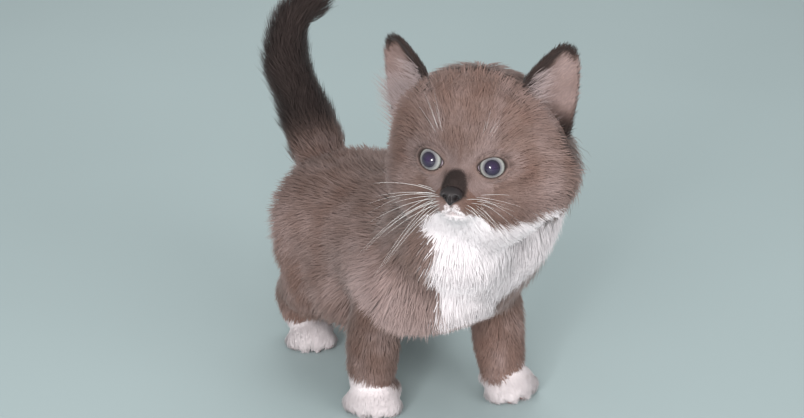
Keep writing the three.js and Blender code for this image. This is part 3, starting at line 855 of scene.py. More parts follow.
def white_share(points, local, regions):
    """White of chin and jaw, bib and mittens."""
    left, front, top = local.T
    jaw = np.interp(left, *JAW_EDGE)
    under_jaw = smoothstep(jaw - top, -1.5, 2.0) * smoothstep(front, -24, -14) * smoothstep(left, -17, -11)
    chin = np.maximum(patch(local, (0.4, 27.5, -22), (5.2, 7, 4.6), 0.85, 1.15), under_jaw)
    chin = np.maximum(chin * (1 - 0.55 * lower_lip(local)), 0.55 * upper_lobes(local))
    white = np.where(region_is(regions, "head"), chin, 0.0)

    x, y, height = points.T
    bearing = np.degrees(np.arctan2(x - BIB_AXIS[0], -(y - BIB_AXIS[1])))
    right_edge = smoothstep(bearing - np.interp(height, *BIB_RIGHT_EDGE), -3, 5)
    left_edge = smoothstep(np.interp(height, *BIB_LEFT_EDGE) - bearing, -3, 5)
    bib = right_edge * left_edge * smoothstep(height, BIB_FOOT - 3, BIB_FOOT + 2)
    white = np.where(region_is(regions, "neck", "torso"), bib, white)

    hind_top = np.full(len(points), 15.5)
    mitten_tops = {
        "front_right": np.clip(20 - 0.54 * (x + 38.4), 12, 23),
        "front_left": np.interp(x, [14, 23, 38], [8, 14, 20]),
        "hind_right": hind_top,
        "hind_left": hind_top,
    }
    for name, mitten in mitten_tops.items():
        white = np.where(region_is(regions, name), smoothstep(mitten - height, -1.5, 1.5), white)
    return white


def dark_and_shade_share(points, local, regions, lips):
    """Dark of tail, lips and ears' bases, of the blotch over the nose, the mask and the eyes' rims, and
    painted shade in the hollow by each ear, in a fold under each eye and at each eye's inner corner.
    """
    left, front, top = local.T
    blotch_half, blotch_high, corner = 6.3 - 0.10 * np.maximum(top + 9.0, 0), 7.4, 2.4
    blotch = (np.abs(left + 0.2) / blotch_half) ** corner + (np.abs(top + 8.6) / blotch_high) ** corner
    blotch = (1 - smoothstep(blotch ** (1 / corner), 0.78, 1.08)) * (front > 20)
    mask = 0.2 * (1 - smoothstep(degrees_apart(unit(local), NOSE_WAY), 55, 90))
    mask = mask + 0.24 * spot(local, (-26, 14, -4), (9, 12, 12)) + 0.14 * spot(local, (0, 27, 3), (6, 8, 9))
    shares = [blotch, mask, both_sides(local, DARK_AND_SHADE_SPOTS)]
    for side in (1, -1):
        edge, reach, own = lid_measure(local, side)
        ahead = own[:, 1] > 0
        thin = np.where(own[:, 2] < 0, 0.075, 0.10 + 0.05 * smoothstep(own[:, 0], 0, 5))
        line = ridge(edge, 1.0, thin) * (reach < 1.6 * EYE_RADIUS) * ahead
        near = (1 - smoothstep(reach, 1.9 * EYE_RADIUS, 2.3 * EYE_RADIUS)) * ahead
        # Painted shade of a fold of skin under each eye
        fold = ridge(edge, 1.75, 0.16) * near * smoothstep(-own[:, 2], 0, 3)
        shares += [0.95 * line, 0.42 * fold]
    dark = region_is(regions, "head") * np.maximum.reduce(shares)

    # Each pocket is painted shade in the hollow at the outer base of an ear, strongest by the left ear
    for side, at_base, pocket_shade_strength in ((1, 0.55, 0.95), (-1, 0.95, 0.3)):
        base = at_base * patch(local, (side * 20, 10, 33), (6.5, 9, 7))
        pocket_shade = pocket_shade_strength * patch(local, (side * 35.5, 4, 13), (7, 8, 10))
        dark = np.maximum(dark, region_is(regions, "head", "ears") * np.maximum(base, pocket_shade))
    tail = smoothstep((points - TAIL_DARKENS_FROM) @ unit(TAIL_DARKENS_TO), -12, 14)
    return np.maximum.reduce([
        dark,
        0.85 * lips,
        region_is(regions, "tail") * tail,
        region_is(regions, "neck", "torso") * 0.16 * back_share(points),
        region_is(regions, "front_right") * 0.22,
    ])


def pale_and_lit_share(points, local, regions):
    """Pale eye rings, brows, cheeks, lips and fluff by the ears, a little pale over neck and torso, and
    painted light on the right shoulder, rump and breast.
    """
    shares = [both_sides(local, PALE_SPOTS), 0.9 * lower_lip(local), 0.8 * upper_lobes(local)]
    for side in (1, -1):
        edge, reach, own = lid_measure(local, side)
        shares.append(0.55 * ridge(edge, 1.35, 0.22) * (reach < 2.0 * EYE_RADIUS) * (own[:, 1] > 0))
    pale = region_is(regions, "head") * np.maximum.reduce(shares)
    # Painted light where the light falls on the right shoulder, rump and breast
    shoulder = spot(points, (-36, -6, 72), (18, 30, 26))
    rump = spot(points, (-40, 96, 66), (16, 34, 26))
    breast = spot(points, (-16, -36, 62), (14, 16, 16))
    pale_and_lit_body = 0.1 + 0.6 * shoulder + 0.3 * rump + 0.6 * breast - 0.3 * back_share(points)
    return np.maximum(pale, region_is(regions, "neck", "torso") * np.clip(pale_and_lit_body, 0, 1))


def warm_share(local, regions):
    """Warm brown of the whisker pads, the corners of the eyes, the forehead and the legs."""
    warm = np.minimum(both_sides(local, WARM_SPOTS), 1)
    forehead = region_is(regions, "head") * 0.12 * spot(local, (0, 20, 16), (9, 12, 12))
    return np.maximum.reduce([warm, forehead, region_is(regions, *LEGS) * 0.15])


def toe_cleft_shade(points):
    """Thin lines of painted shade in the clefts between the toes."""
    lines = np.zeros(len(points))
    for leg in LEGS.values():
        half, high = paw_sizes(leg)
        low = smoothstep(high * 1.15 - points[:, 2], 0, 2)
        for across in TOE_GAPS:
            line = paw_place(leg, [(half * across, half * reach, high * 0.7) for reach in (0.75, 0.95, 1.1)])
            gap = np.linalg.norm(points[:, None, :2] - line[None, :, :2], axis=2).min(1)
            lines = np.maximum(lines, 0.4 * ridge(gap, 0, 0.8) * low)
    return lines


def markings(points, regions):
    """White, dark, pale and warm shares of the coat at places on the skin; the dark holds painted shade and
    the pale painted light.
    """
    local = in_head(points)
    lips = ridge(mouth_gap(points), 0, 0.7)
    # Painted shade between the toes, taken out of the white and added to the dark of the legs
    toes = toe_cleft_shade(points)
    white = white_share(points, local, regions) * (1 - toes) * (1 - 0.9 * lips)
    dark = np.maximum(dark_and_shade_share(points, local, regions, lips), toes * region_is(regions, *LEGS))
    pale = pale_and_lit_share(points, local, regions)
    return np.stack([white, dark * (1 - white), pale * (1 - white), warm_share(local, regions)], 1)


def ear_markings_and_shade(points, normals, marks, regions):
    """Dark backs and rims of the ears, their pale insides, and painted shade in the hollow low on the outer
    side of each ear's opening.
    """
    for side, pocket_shade_strength in ((1, 1.0), (-1, 0.25)):
        base, run, rise, opening, across = ear_frame(side)
        place = points - base
        t = place @ rise / np.linalg.norm(run)
        inner_way = across * -np.sign(across @ HEAD_LEFT) * side
        beside = place @ inner_way / ear_half(t, 0.05)
        mine = region_is(regions, "ears") & (in_head(points)[:, 0] * side > 0)
        inside = smoothstep(normals @ opening, -0.05, 0.2)
        inner_band = smoothstep(beside, 0.15, 0.5)
        outer_band = smoothstep(-beside, 0.84, 0.96)
        rim = np.maximum.reduce([inner_band, outer_band, smoothstep(t, 0.86, 0.97)])
        # Painted shade in the hollow of the ear's lower outer part
        pocket_shade = pocket_shade_strength * smoothstep(0.42 - t, 0, 0.25) * smoothstep(-beside, -0.05, 0.25)
        back = 0.95 * (1 - inside) * smoothstep(t, 0.0, 0.25)
        dark = np.maximum.reduce([back, 0.95 * rim * smoothstep(t, -0.1, 0.15), 0.97 * pocket_shade])
        marks[mine, 1] = np.maximum(marks[mine, 1], dark[mine])
        marks[mine, 2] = (0.4 * inside * (1 - rim))[mine] * (1 - marks[mine, 1])
    return marks


# Materials
def add_node(tree, kind, sockets=None, **settings):
    """A node with its settings. Each named socket takes a value, or a link from another node's socket."""
    node = tree.nodes.new(kind)
    for key, value in settings.items():
        setattr(node, key, value)
    for key, value in (sockets or {}).items():
        if isinstance(value, bpy.types.NodeSocket):
            tree.links.new(value, node.inputs[key])
        else:
            node.inputs[key].default_value = value
    return node


def object_place(tree):
    return add_node(tree, "ShaderNodeTexCoord").outputs["Object"]


def attribute(tree, name):
    return add_node(tree, "ShaderNodeAttribute", attribute_name=name).outputs


def split(tree, colour):
    """The three parts of a colour."""
    return add_node(tree, "ShaderNodeSeparateColor", {0: colour}).outputs[:3]


def noise(tree, vector, scale, detail=2.0):
    sockets = {"Vector": vector, "Scale": scale, "Detail": detail}
    return add_node(tree, "ShaderNodeTexNoise", sockets).outputs[0]


def ranged(tree, value, low, high, start=0.0, stop=1.0):
    """A value carried from start and stop to low and high."""
    sockets = {"Value": value, "From Min": start, "From Max": stop, "To Min": low, "To Max": high}
    return add_node(tree, "ShaderNodeMapRange", sockets).outputs[0]


def calculate(tree, operation, *values):
    return add_node(tree, "ShaderNodeMath", dict(enumerate(values)), operation=operation).outputs[0]


def mix(tree, kind, share, a, b):
    """Two colours brought together. The node's colour sockets come after those of its other kinds."""
    sockets = {0: share, 6: a, 7: b}
    return add_node(tree, "ShaderNodeMix", sockets, data_type="RGBA", blend_type=kind).outputs[2]


def darkened(tree, colour, light, share=1.0):
    """A colour multiplied by a grey light."""
    grey = add_node(tree, "ShaderNodeCombineColor", {0: light, 1: light, 2: light}).outputs[0]
    return mix(tree, "MULTIPLY", share, colour, grey)


def ramp(tree, share, stops):
    """A colour from a share, by (place, colour) stops."""
    node = add_node(tree, "ShaderNodeValToRGB", {0: share})
    elements = node.color_ramp.elements
    for element, (place, colour) in zip(elements, (stops[0], stops[-1])):
        element.position, element.color = place, (*colour, 1)
    for place, colour in stops[1:-1]:
        elements.new(place).color = (*colour, 1)
    return node.outputs[0]


def new_material(name, sockets):
    """A material, its tree and its shader, with fixed values in some of the shader's own sockets."""
    material = bpy.data.materials.new(name)
    material.use_nodes = True
    shader = material.node_tree.nodes["Principled BSDF"]
    for key, value in sockets.items():
        shader.inputs[key].default_value = value
    return material, material.node_tree, shader


def give_colour(tree, shader, colour):
    tree.links.new(colour, shader.inputs["Base Color"])


def give_relief(tree, shader, height, strength, distance, invert=False):
    sockets = {"Strength": strength, "Distance": distance, "Height": height}
    bump = add_node(tree, "ShaderNodeBump", sockets, invert=invert)
    tree.links.new(bump.outputs[0], shader.inputs["Normal"])


def give_patchy_colour(tree, shader, place, colour, scale, spread):
    """A colour that is lighter and darker by a share, in soft patches."""
    base = np.array(colour)
    stops = [(0.3, base * (1 - spread)), (0.7, base * (1 + spread))]
    give_colour(tree, shader, ramp(tree, noise(tree, place, scale), stops))


def coat_colour_group():
    """Colour of skin and hair from the markings and the painted light and shade carried with them, with
    darker roots, paler tips and a soft unevenness.
    """
    group = bpy.data.node_groups.new("Coat colour", "ShaderNodeTree")
    for name in ("Brown", "Warm brown", "Pale", "Dark", "White", "Markings and painted light", "Hair"):
        group.interface.new_socket(name=name, in_out="INPUT", socket_type="NodeSocketColor")
    group.interface.new_socket(name="Warm share", in_out="INPUT", socket_type="NodeSocketFloat")
    group.interface.new_socket(name="Colour", in_out="OUTPUT", socket_type="NodeSocketColor")
    given = add_node(group, "NodeGroupInput").outputs
    white_mark, dark_and_shade_mark, pale_and_lit_mark = split(group, given["Markings and painted light"])
    along, tone, _spare = split(group, given["Hair"])
    place = object_place(group)
    patches = ranged(group, noise(group, place, 38.0, 3.0), 0, 1, 0.35, 0.65)
    clouds = noise(group, place, 75.0, 4.0)
    base = given["Brown"]
    for share, colour in (
        (given["Warm share"], "Warm brown"),
        (ranged(group, clouds, 0, 0.5, 0.5, 0.3), "Warm brown"),
        (ranged(group, clouds, 0, 0.4, 0.5, 0.72), "Pale"),
        (pale_and_lit_mark, "Pale"),
        (dark_and_shade_mark, "Dark"),
    ):
        base = mix(group, "MIX", share, base, given[colour])
    light = calculate(group, "MULTIPLY", ranged(group, along, 0.74, 1.12), ranged(group, tone, 0.82, 1.2))
    light = calculate(group, "MULTIPLY", light, ranged(group, patches, 0.9, 1.1))
    shaded = darkened(group, base, light)
    white = darkened(group, given["White"], ranged(group, light, 0.96, 1.03, 0.4, 1.6))
    add_node(group, "NodeGroupOutput", {"Colour": mix(group, "MIX", white_mark, shaded, white)})
    return group


def coat_material(name, group, colours, sheen, bump):
    """Fur, or the skin under it, which has a bump."""
    material, tree, shader = new_material(name, {
        "Roughness": 0.78, "Specular IOR Level": 0.16, "Sheen Weight": sheen, "Sheen Roughness": 0.45,
    })
    marks = attribute(tree, "Markings and painted light")
    sockets = {
        "Markings and painted light": marks["Color"], "Warm share": marks["Alpha"], "Hair": attribute(tree, "Hair")["Color"],
        "Brown": (*colours.brown, 1), "Warm brown": (*colours.warm, 1), "Pale": (*colours.pale, 1),
        "Dark": (*colours.dark, 1), "White": (*colours.white, 1),
    }
    give_colour(tree, shader, add_node(tree, "ShaderNodeGroup", sockets, node_tree=group).outputs[0])
    if bump:
        give_relief(tree, shader, noise(tree, object_place(tree), 900.0, 4.0), 0.6, bump)
    return material


def eye_material(colours, sizes):
    """Pupil, iris with its fibres, dark rim and white, by the angle from the middle of the pupil. The
    pupil's violet, brightest in its middle, is painted eyeshine: a reflection of a flash.
    """
    material, tree, shader = new_material("Eye", {
        "Roughness": 0.25, "Coat Weight": 1.0, "Coat Roughness": 0.02, "IOR": 1.38,
    })
    gaze = attribute(tree, "gaze")["Vector"]
    across, up, forward = add_node(tree, "ShaderNodeSeparateXYZ", {0: gaze}).outputs[:3]
    span = math.radians(60)
    share = calculate(tree, "DIVIDE", calculate(tree, "ARCCOSINE", forward), span)
    pupil, iris = (math.asin(size / 2 / (EYE_RADIUS * MM)) / span for size in (sizes.pupil, sizes.iris))
    iris_colour, deep = np.array(colours.iris), np.array(colours.pupil)
    inner_ring = 0.45 * iris_colour + 0.55 * np.array((0.09, 0.075, 0.11))
    # The pupil's stops are painted eyeshine, brightest in the middle
    rings = ramp(tree, share, [
        (0.0, deep * 2.2),
        (pupil * 0.6, deep * 1.3),
        (pupil * 0.97, deep * 0.7),
        (pupil * 1.05, inner_ring * 0.6),
        (pupil * 1.22, inner_ring),
        (iris * 0.84, iris_colour),
        (iris * 0.93, iris_colour * 0.7),
        (iris * 0.99, iris_colour * 0.1),
        (iris * 1.07, (0.07, 0.045, 0.05)),
        (iris * 1.15, (0.36, 0.29, 0.34)),
        (1.0, (0.30, 0.21, 0.24)),
    ])
    turn = add_node(tree, "ShaderNodeCombineXYZ", {0: across, 1: up}).outputs[0]
    spoke = add_node(tree, "ShaderNodeVectorMath", {0: turn}, operation="NORMALIZE").outputs[0]
    fibres = ranged(tree, noise(tree, spoke, 9.0, 5.0), 0.75, 1.25)
    give_colour(tree, shader, darkened(tree, rings, fibres, 0.9))
    return material


def leather_material(name, colour, roughness, pebble, wet):
    """Bare, pebbled skin of the nose and pads."""
    material, tree, shader = new_material(name, {
        "Roughness": roughness, "Coat Weight": wet, "Coat Roughness": 0.3,
    })
    place = object_place(tree)
    sockets = {"Vector": place, "Scale": 1.0 / (pebble * MM)}
    cells = add_node(tree, "ShaderNodeTexVoronoi", sockets).outputs["Distance"]
    give_relief(tree, shader, cells, 0.5, 0.1 * MM, invert=True)
    give_patchy_colour(tree, shader, place, colour, 300.0, 0.4)
    return material


def hair_material(name, colour, dark_root):
    """Stiff single hairs, from root to tip."""
    material, tree, shader = new_material(name, {"Roughness": 0.4})
    along = split(tree, attribute(tree, "Hair")["Color"])[0]
    base = np.array(colour)
    give_colour(tree, shader, ramp(tree, along, [(0.0, base * dark_root), (0.2, base)]))
    return material


def floor_material(colour):
    material, tree, shader = new_material("Pale floor", {"Roughness": 0.6})
    give_patchy_colour(tree, shader, object_place(tree), colour, 3.0, 0.02)
    return material


# Hairs
def unwrap(points, regions):
    """Each place's spot on an unwrap of the skin: round and along its own part, one cell to a part."""
    axes = {
        "head": (HEAD_PLACE - 45 * HEAD_FRONT, HEAD_PLACE + 45 * HEAD_FRONT),
        "neck": ((2, 10, 70), (2, -30, 140)),
        "torso": ((0, -45, 68), (0, 132, 66)),
        "tail": (TAIL_BASE, TAIL_BASE + TAIL_RUN[-1]),
        "ears": (HEAD_PLACE - 55 * HEAD_LEFT, HEAD_PLACE + 55 * HEAD_LEFT),
    }
    for name, leg in LEGS.items():
        axes[name] = ((*leg["paw"], 0), (leg["side"] * 26, leg["paw"][1] + 4, 66))
    spots = np.zeros((len(points), 2))
    across_cells = 3
    for index, region in enumerate(REGIONS):
        mine = regions == index
        start, stop = (np.array(p, float) for p in axes[region])
        run = stop - start
        along = unit(run)
        level = unit(np.cross(along, (0.3, 0.9, 0.1)))
        third = np.cross(along, level)
        place = points[mine] - start
        v = np.clip(place @ along / np.linalg.norm(run), 0, 1)
        u = np.arctan2(place @ level, place @ third) / (2 * math.pi) + 0.5
        cell = np.array([index % across_cells, index // across_cells])
        spots[mine] = (cell + 0.02 + 0.96 * np.stack([u, v], 1)) / across_cells
    return spots


# The lowest that a hair reaches, in millimetres, and the side of a hair's patch on the unwrap
FLOOR_GAP = 0.25
UV_PATCH = 0.003


def hair_points(hairs, stations, sunk, thickness):
    """Three points at each station of every hair, and one at its tip."""
    points = np.empty((len(hairs["root"]), 3 * len(stations) + 1, 3), np.float32)
    lift = hairs["rise"] + sunk

    def centre(s):
        rise = lift * (1 - (1 - s) ** 1.7) - sunk
        middle = hairs["root"] + hairs["lie"] * (hairs["length"] * s)[:, None] + hairs["out"] * rise[:, None]
        middle = middle + hairs["side"] * (hairs["sway"] * s * s)[:, None]
        return middle + hairs["pull"] * s**1.6

    for k, (s, wide) in enumerate(stations):
        middle = centre(s)
        across = hairs["side"] * (hairs["width"] / 2 * wide)[:, None]
        points[:, 3 * k] = middle + across
        points[:, 3 * k + 1] = middle - across
        points[:, 3 * k + 2] = middle + hairs["out"] * (hairs["width"] * thickness * wide)[:, None]
    points[:, -1] = centre(1.0)
    points[:, :, 2] = np.maximum(points[:, :, 2], FLOOR_GAP)
    return points


def hair_mesh(name, points):
    """One mesh of closed hairs from their points, and the point at each of its corners."""
    count, per_hair = points.shape[:2]
    sides = ((0, 1), (1, 2), (2, 0))
    last = per_hair - 4
    quads = [(k + i, k + j, k + 3 + j, k + 3 + i) for k in range(0, last, 3) for i, j in sides]
    triangles = [(last + i, last + j, per_hair - 1) for i, j in sides] + [(0, 2, 1)]
    corners = np.array([corner for face in quads + triangles for corner in face])
    loops = (np.arange(count)[:, None] * per_hair + corners).ravel()
    sizes = np.tile([4] * len(quads) + [3] * len(triangles), count)
    mesh = bpy.data.meshes.new(name)
    mesh.vertices.add(count * per_hair)
    mesh.vertices.foreach_set("co", to_scene(points.reshape(-1, 3)).astype(np.float32).ravel())
    mesh.loops.add(len(loops))
    mesh.loops.foreach_set("vertex_index", loops.astype(np.int32))
    mesh.polygons.add(len(sizes))
    mesh.polygons.foreach_set("loop_start", np.append(0, np.cumsum(sizes)[:-1]).astype(np.int32))
    mesh.update(calc_edges=True)
    return mesh, loops


def build_hairs(name, hairs, stations, sunk, thickness, marks, tone, regions):
    """Flat, tapered, closed hairs as one mesh, with markings, places on the unwrap and soft normals."""
    points = hair_points(hairs, stations, sunk, thickness)
    count, per_hair = points.shape[:2]
    rings = len(stations)
    mesh, loops = hair_mesh(name, points)
    share = np.repeat([s for s, _ in stations] + [1.0], [3] * rings + [1]).astype(np.float32)
    hair = np.ones((count, per_hair, 4), np.float32)
    hair[:, :, 0] = share
    hair[:, :, 1] = tone[:, None]
    write_attribute(mesh, "Markings and painted light", np.repeat(marks, per_hair, 0))
    write_attribute(mesh, "Hair", hair.reshape(-1, 4))

    offset = np.zeros((per_hair, 2))
    offset[:, 1] = (share - 0.5) * UV_PATCH
    offset[:-1, 0] = np.tile([0.5, -0.5, 0.0], rings) * UV_PATCH
    uv = (unwrap(hairs["root"], regions)[:, None] + offset).reshape(-1, 2)
    layer = mesh.uv_layers.new(name="OFBake")
    layer.data.foreach_set("uv", uv[loops].astype(np.float32).ravel())
    mesh.validate()
    piece = bpy.data.objects.new(name, mesh)
    bpy.context.collection.objects.link(piece)
    mesh.shade_smooth()
    soft = np.repeat(hairs["shade"][:, None], per_hair, 1)
    spread = (0.35 - 0.3 * marks[:, :1]) * hairs["side"]
    soft[:, 0:-1:3] += spread[:, None]
    soft[:, 1:-1:3] -= spread[:, None]
    mesh.normals_split_custom_set_from_vertices(unit(soft.reshape(-1, 3)).astype(np.float32))
    return piece


LONG_HAIR = [(0.0, 0.7), (0.4, 1.0), (0.76, 0.6)]
SHORT_HAIR = [(0.0, 0.8), (0.5, 0.9)]


def read_attribute(mesh, name, width):
    values = np.empty(len(mesh.vertices) * width)
    kind = {1: "value", 3: "vector", 4: "color"}[width]
    mesh.attributes[name].data.foreach_get(kind, values)
    return values.reshape(-1, width) if width > 1 else values


def write_attribute(mesh, name, values):
    kinds = {1: ("FLOAT", "value"), 3: ("FLOAT_VECTOR", "vector"), 4: ("FLOAT_COLOR", "color")}
    kind, key = kinds[1 if values.ndim == 1 else values.shape[1]]
    layer = mesh.attributes.new(name, kind, "POINT")
    layer.data.foreach_set(key, values.astype(np.float32).ravel())


def grow_roots(skin, amount, rng):
    """Roots spread over the skin by the coat's density, with all that is known of the skin there."""
    mesh = skin.data
    mesh.calc_loop_triangles()
    corners = read_values(mesh.loop_triangles, "vertices", 3, np.int32)
    points, normals = from_scene(read_points(skin)), read_normals(skin)
    density = read_attribute(mesh, "density", 1)
    p = points[corners]
    area = np.linalg.norm(np.cross(p[:, 1] - p[:, 0], p[:, 2] - p[:, 0]), axis=1) / 2
    share = np.cumsum(area * density[corners].mean(1) * amount)
    count = int(share[-1])
    picks = np.searchsorted(share, (np.arange(count) + rng.random(count)) / count * share[-1])
    picks = np.minimum(picks, len(corners) - 1)
    u, v = rng.random(count), rng.random(count)
    over = u + v > 1
    u[over], v[over] = 1 - u[over], 1 - v[over]
    weights = np.stack([1 - u - v, u, v], 1)

    def blend(values):
        return np.einsum("nk,nk...->n...", weights, values[corners[picks]])

    roots = {"root": blend(points), "out": unit(blend(normals))}
    roots["lie"] = blend(read_attribute(mesh, "lie", 3))
    roots["shade"] = unit(blend(read_attribute(mesh, "shade", 3)))
    for name in ("length", "rise", "width"):
        roots[name] = blend(read_attribute(mesh, name, 1))
    roots["marks"] = blend(read_attribute(mesh, "Markings and painted light", 4))
    roots["region"] = read_attribute(mesh, "region", 1).round().astype(int)[corners[picks, 0]]
    return roots


def tuft_hairs(roots, rng, clump, spread, tuft_gap):
    """Varies the hairs and draws neighbours together into tufts. The white of the coat lies more evenly."""
    loose_share = 0.08
    farthest_pull = 0.5
    count = len(roots["root"])
    lie = unit(roots["lie"] - (roots["lie"] * roots["out"]).sum(1, keepdims=True) * roots["out"])
    side = np.cross(lie, roots["out"])
    x, y, z = roots["root"].T
    swirl = np.sin(x / 7 + np.sin(y / 11)) + np.sin(y / 9 + z / 8) + np.sin(z / 6 - x / 13)
    white = roots["marks"][:, 0]
    swing = rng.normal(0, spread, count) + 0.09 * swirl * smoothstep(roots["length"], 3, 12)
    swing = swing * (1 - 0.6 * white)
    lie = unit(lie + side * swing[:, None])
    side = unit(np.cross(lie, roots["out"]))
    length = roots["length"] * rng.uniform(0.75, 1.2, count)
    clump = clump * (1 - 0.9 * white)
    loose = rng.random(count) < loose_share
    even = 0.6 * white
    height = rng.uniform(0.45, 1.1, count) * (1 - even) + 0.9 * even
    rise = roots["rise"] * height * np.where(loose, 1.25, 1) * (1 - 0.3 * white)
    width = roots["width"] * rng.uniform(0.75, 1.25, count) * (1 + 0.4 * white)
    sway = rng.normal(0, 0.08, count) * length
    tips = roots["root"] + lie * length[:, None] + roots["out"] * rise[:, None]
    leaders = rng.choice(count, max(1, int(count / tuft_gap)), replace=False)
    tree = KDTree(len(leaders))
    for index, leader in enumerate(leaders):
        tree.insert(roots["root"][leader], index)
    tree.balance()
    own = leaders[np.array([tree.find(place)[1] for place in roots["root"]])]
    pull = (tips[own] - tips) * (clump * rng.uniform(0.4, 1.0, count) * np.where(loose, 0.2, 1))[:, None]
    reach = np.linalg.norm(pull, axis=1)
    pull *= np.minimum(1, farthest_pull * length / np.maximum(reach, 1e-6))[:, None]
    tone = 0.45 * rng.random(count)[own] + 0.55 * rng.random(count)
    hairs = {
        "root": roots["root"], "out": roots["out"], "lie": lie, "side": side, "length": length,
        "rise": rise, "width": width, "sway": sway, "pull": pull, "shade": roots["shade"],
    }
    return hairs, tone


# The skin as a whole
def body_forms(cloud):
    """Every form that the skin of body and head is drawn over."""
    forms = [
        add_limb_skin(cloud, "torso_form", torso_limb(), "torso", torso_lie, torso_fields, 64, 56),
        add_limb_skin(cloud, "neck_form", neck_limb(), "neck", neck_lie, plain_fields("neck"), 56, 40),
        add_limb_skin(cloud, "tail_form", tail_limb(), "tail", tailward, plain_fields("tail"), 32, 60),
        head_skin(cloud),
        fold_skin(cloud, "throat_form", (-8, -27, 106), (24, 21, 21), "neck", neck_lie),
        fold_skin(cloud, "withers_form", (3, 20, 91), (25, 36, 11), "torso", torso_lie),
        fold_skin(cloud, "flank_form_left", (27, 51, 50), (9, 27, 17), "torso", torso_lie),
        fold_skin(cloud, "flank_form_right", (-27, 51, 50), (9, 27, 17), "torso", torso_lie),
    ]
    for name, leg in LEGS.items():
        limb = (hindleg_limb if leg["hind"] else foreleg_limb)(leg["side"], leg["paw"])
        forms.append(add_limb_skin(cloud, f"leg_form_{name}", limb, name, downward, leg_fields))
        forms.extend(paw_skin(cloud, name, leg))
    return forms


def draw_skin(forms, ears, grain):
    """One closed skin over the forms, finer on the face, with its lids, mouth and ears."""
    skin = join_pieces(forms, "skin")
    apply_modifier(skin, "REMESH", mode="VOXEL", voxel_size=grain)
    first_rounds, joint_rounds = 7, 110
    face_spread, fine_reach = 52, 15.5
    apply_modifier(skin, "SMOOTH", factor=0.5, iterations=first_rounds)
    soften_joints(skin, joint_rounds)
    fine_spots = [eye_place(1), eye_place(-1), MOUTH_MIDDLE]
    subdivide_where(skin, lambda p: degrees_apart(unit(in_head(p)), NOSE_WAY) < face_spread)
    subdivide_where(
        skin,
        lambda p: np.min([np.linalg.norm(in_head(p) - s, axis=1) for s in fine_spots], 0) < fine_reach,
    )
    points = shape_lids(from_scene(read_points(skin)))
    write_points(skin, to_scene(points))
    points = shape_mouth(points, read_normals(skin))
    write_points(skin, to_scene(points))
    ear_pair = join_pieces(ears, "ear_forms")
    apply_modifier(skin, "BOOLEAN", operation="UNION", solver="MANIFOLD", object=ear_pair)
    bpy.data.objects.remove(ear_pair)
    return skin


def trim_coat(points, regions, lies, fields):
    """Turns the coat away from the eyes, and shortens or thins it round eyes, nose and mouth."""
    local = in_head(points)
    is_head = region_is(regions, "head")
    for side in (1, -1):
        edge, reach, own = lid_measure(local, side)
        near = is_head & (own[:, 1] > 0) & (reach < 2.4 * EYE_RADIUS)
        gap = np.where(near, (edge - 1) * EYE_RADIUS * math.radians(LID_UPPER), FAR)
        round_eye = ridge(np.maximum(gap, 0), 0, 3.0)[:, None]
        lies = unit(lies + 1.2 * round_eye * unit(points - head_point(eye_place(side))))
        short = smoothstep(gap, 0.2, 5.5)
        fields[:, 0] *= 0.42 + 0.58 * short
        fields[:, 1] *= 0.35 + 0.65 * short
        fields[:, 2] *= 0.8 + 0.2 * short
        fields[:, 3] *= np.where(near & (edge < 1.08), 0, 1)
    nose_middle, nose_half = (0, 32, -12.6), (4.6, 5.5, 4.3)
    nose_gap = np.linalg.norm((local - nose_middle) / nose_half, axis=1)
    fields[:, 3] *= np.where(is_head & (nose_gap < 1), 0, 1)
    from_mouth = np.where(is_head, mouth_gap(points), FAR)
    fields[:, 3] *= smoothstep(from_mouth, 0.9, 1.9)
    fields[:, 0] *= 0.45 + 0.55 * smoothstep(from_mouth, 1, 5)
    fields[:, 3] *= 1 - 0.85 * np.where(is_head, lower_lip(local), 0)
    return lies


# Sizes and colours that a user would change
def length_property(name, description, default):
    return bpy.props.FloatProperty(
        name=name, description=description, default=default, min=0, unit="LENGTH", precision=5)


def share_property(name, description, default, high=2.0):
    return bpy.props.FloatProperty(
        name=name, description=description, default=default, min=0, max=high, subtype="FACTOR")


def colour_property(name, description, default):
    return bpy.props.FloatVectorProperty(
        name=name, description=description, default=default, size=3, min=0, max=1, subtype="COLOR")


class KittenSizes(bpy.types.PropertyGroup):
    """Sizes of the kitten's coat, eyes and whiskers"""

    skin_grain: length_property("Skin grain", "Size of the skin's smallest face", 0.00125)
    iris: length_property("Iris", "Width of each iris", 0.0104)
    pupil: length_property("Pupil", "Width of each pupil", 0.0064)
    whisker: length_property("Whiskers", "Length of the longest whiskers", 0.052)
    coat_length: share_property("Coat length", "Length of the fur against the kitten's own", 1.0)
    coat_amount: share_property("Coat thickness", "Number of hairs against the full coat", 1.0)
    clumping: share_property("Tufts", "How far neighbouring hairs close up into tufts", 0.36, 1.0)


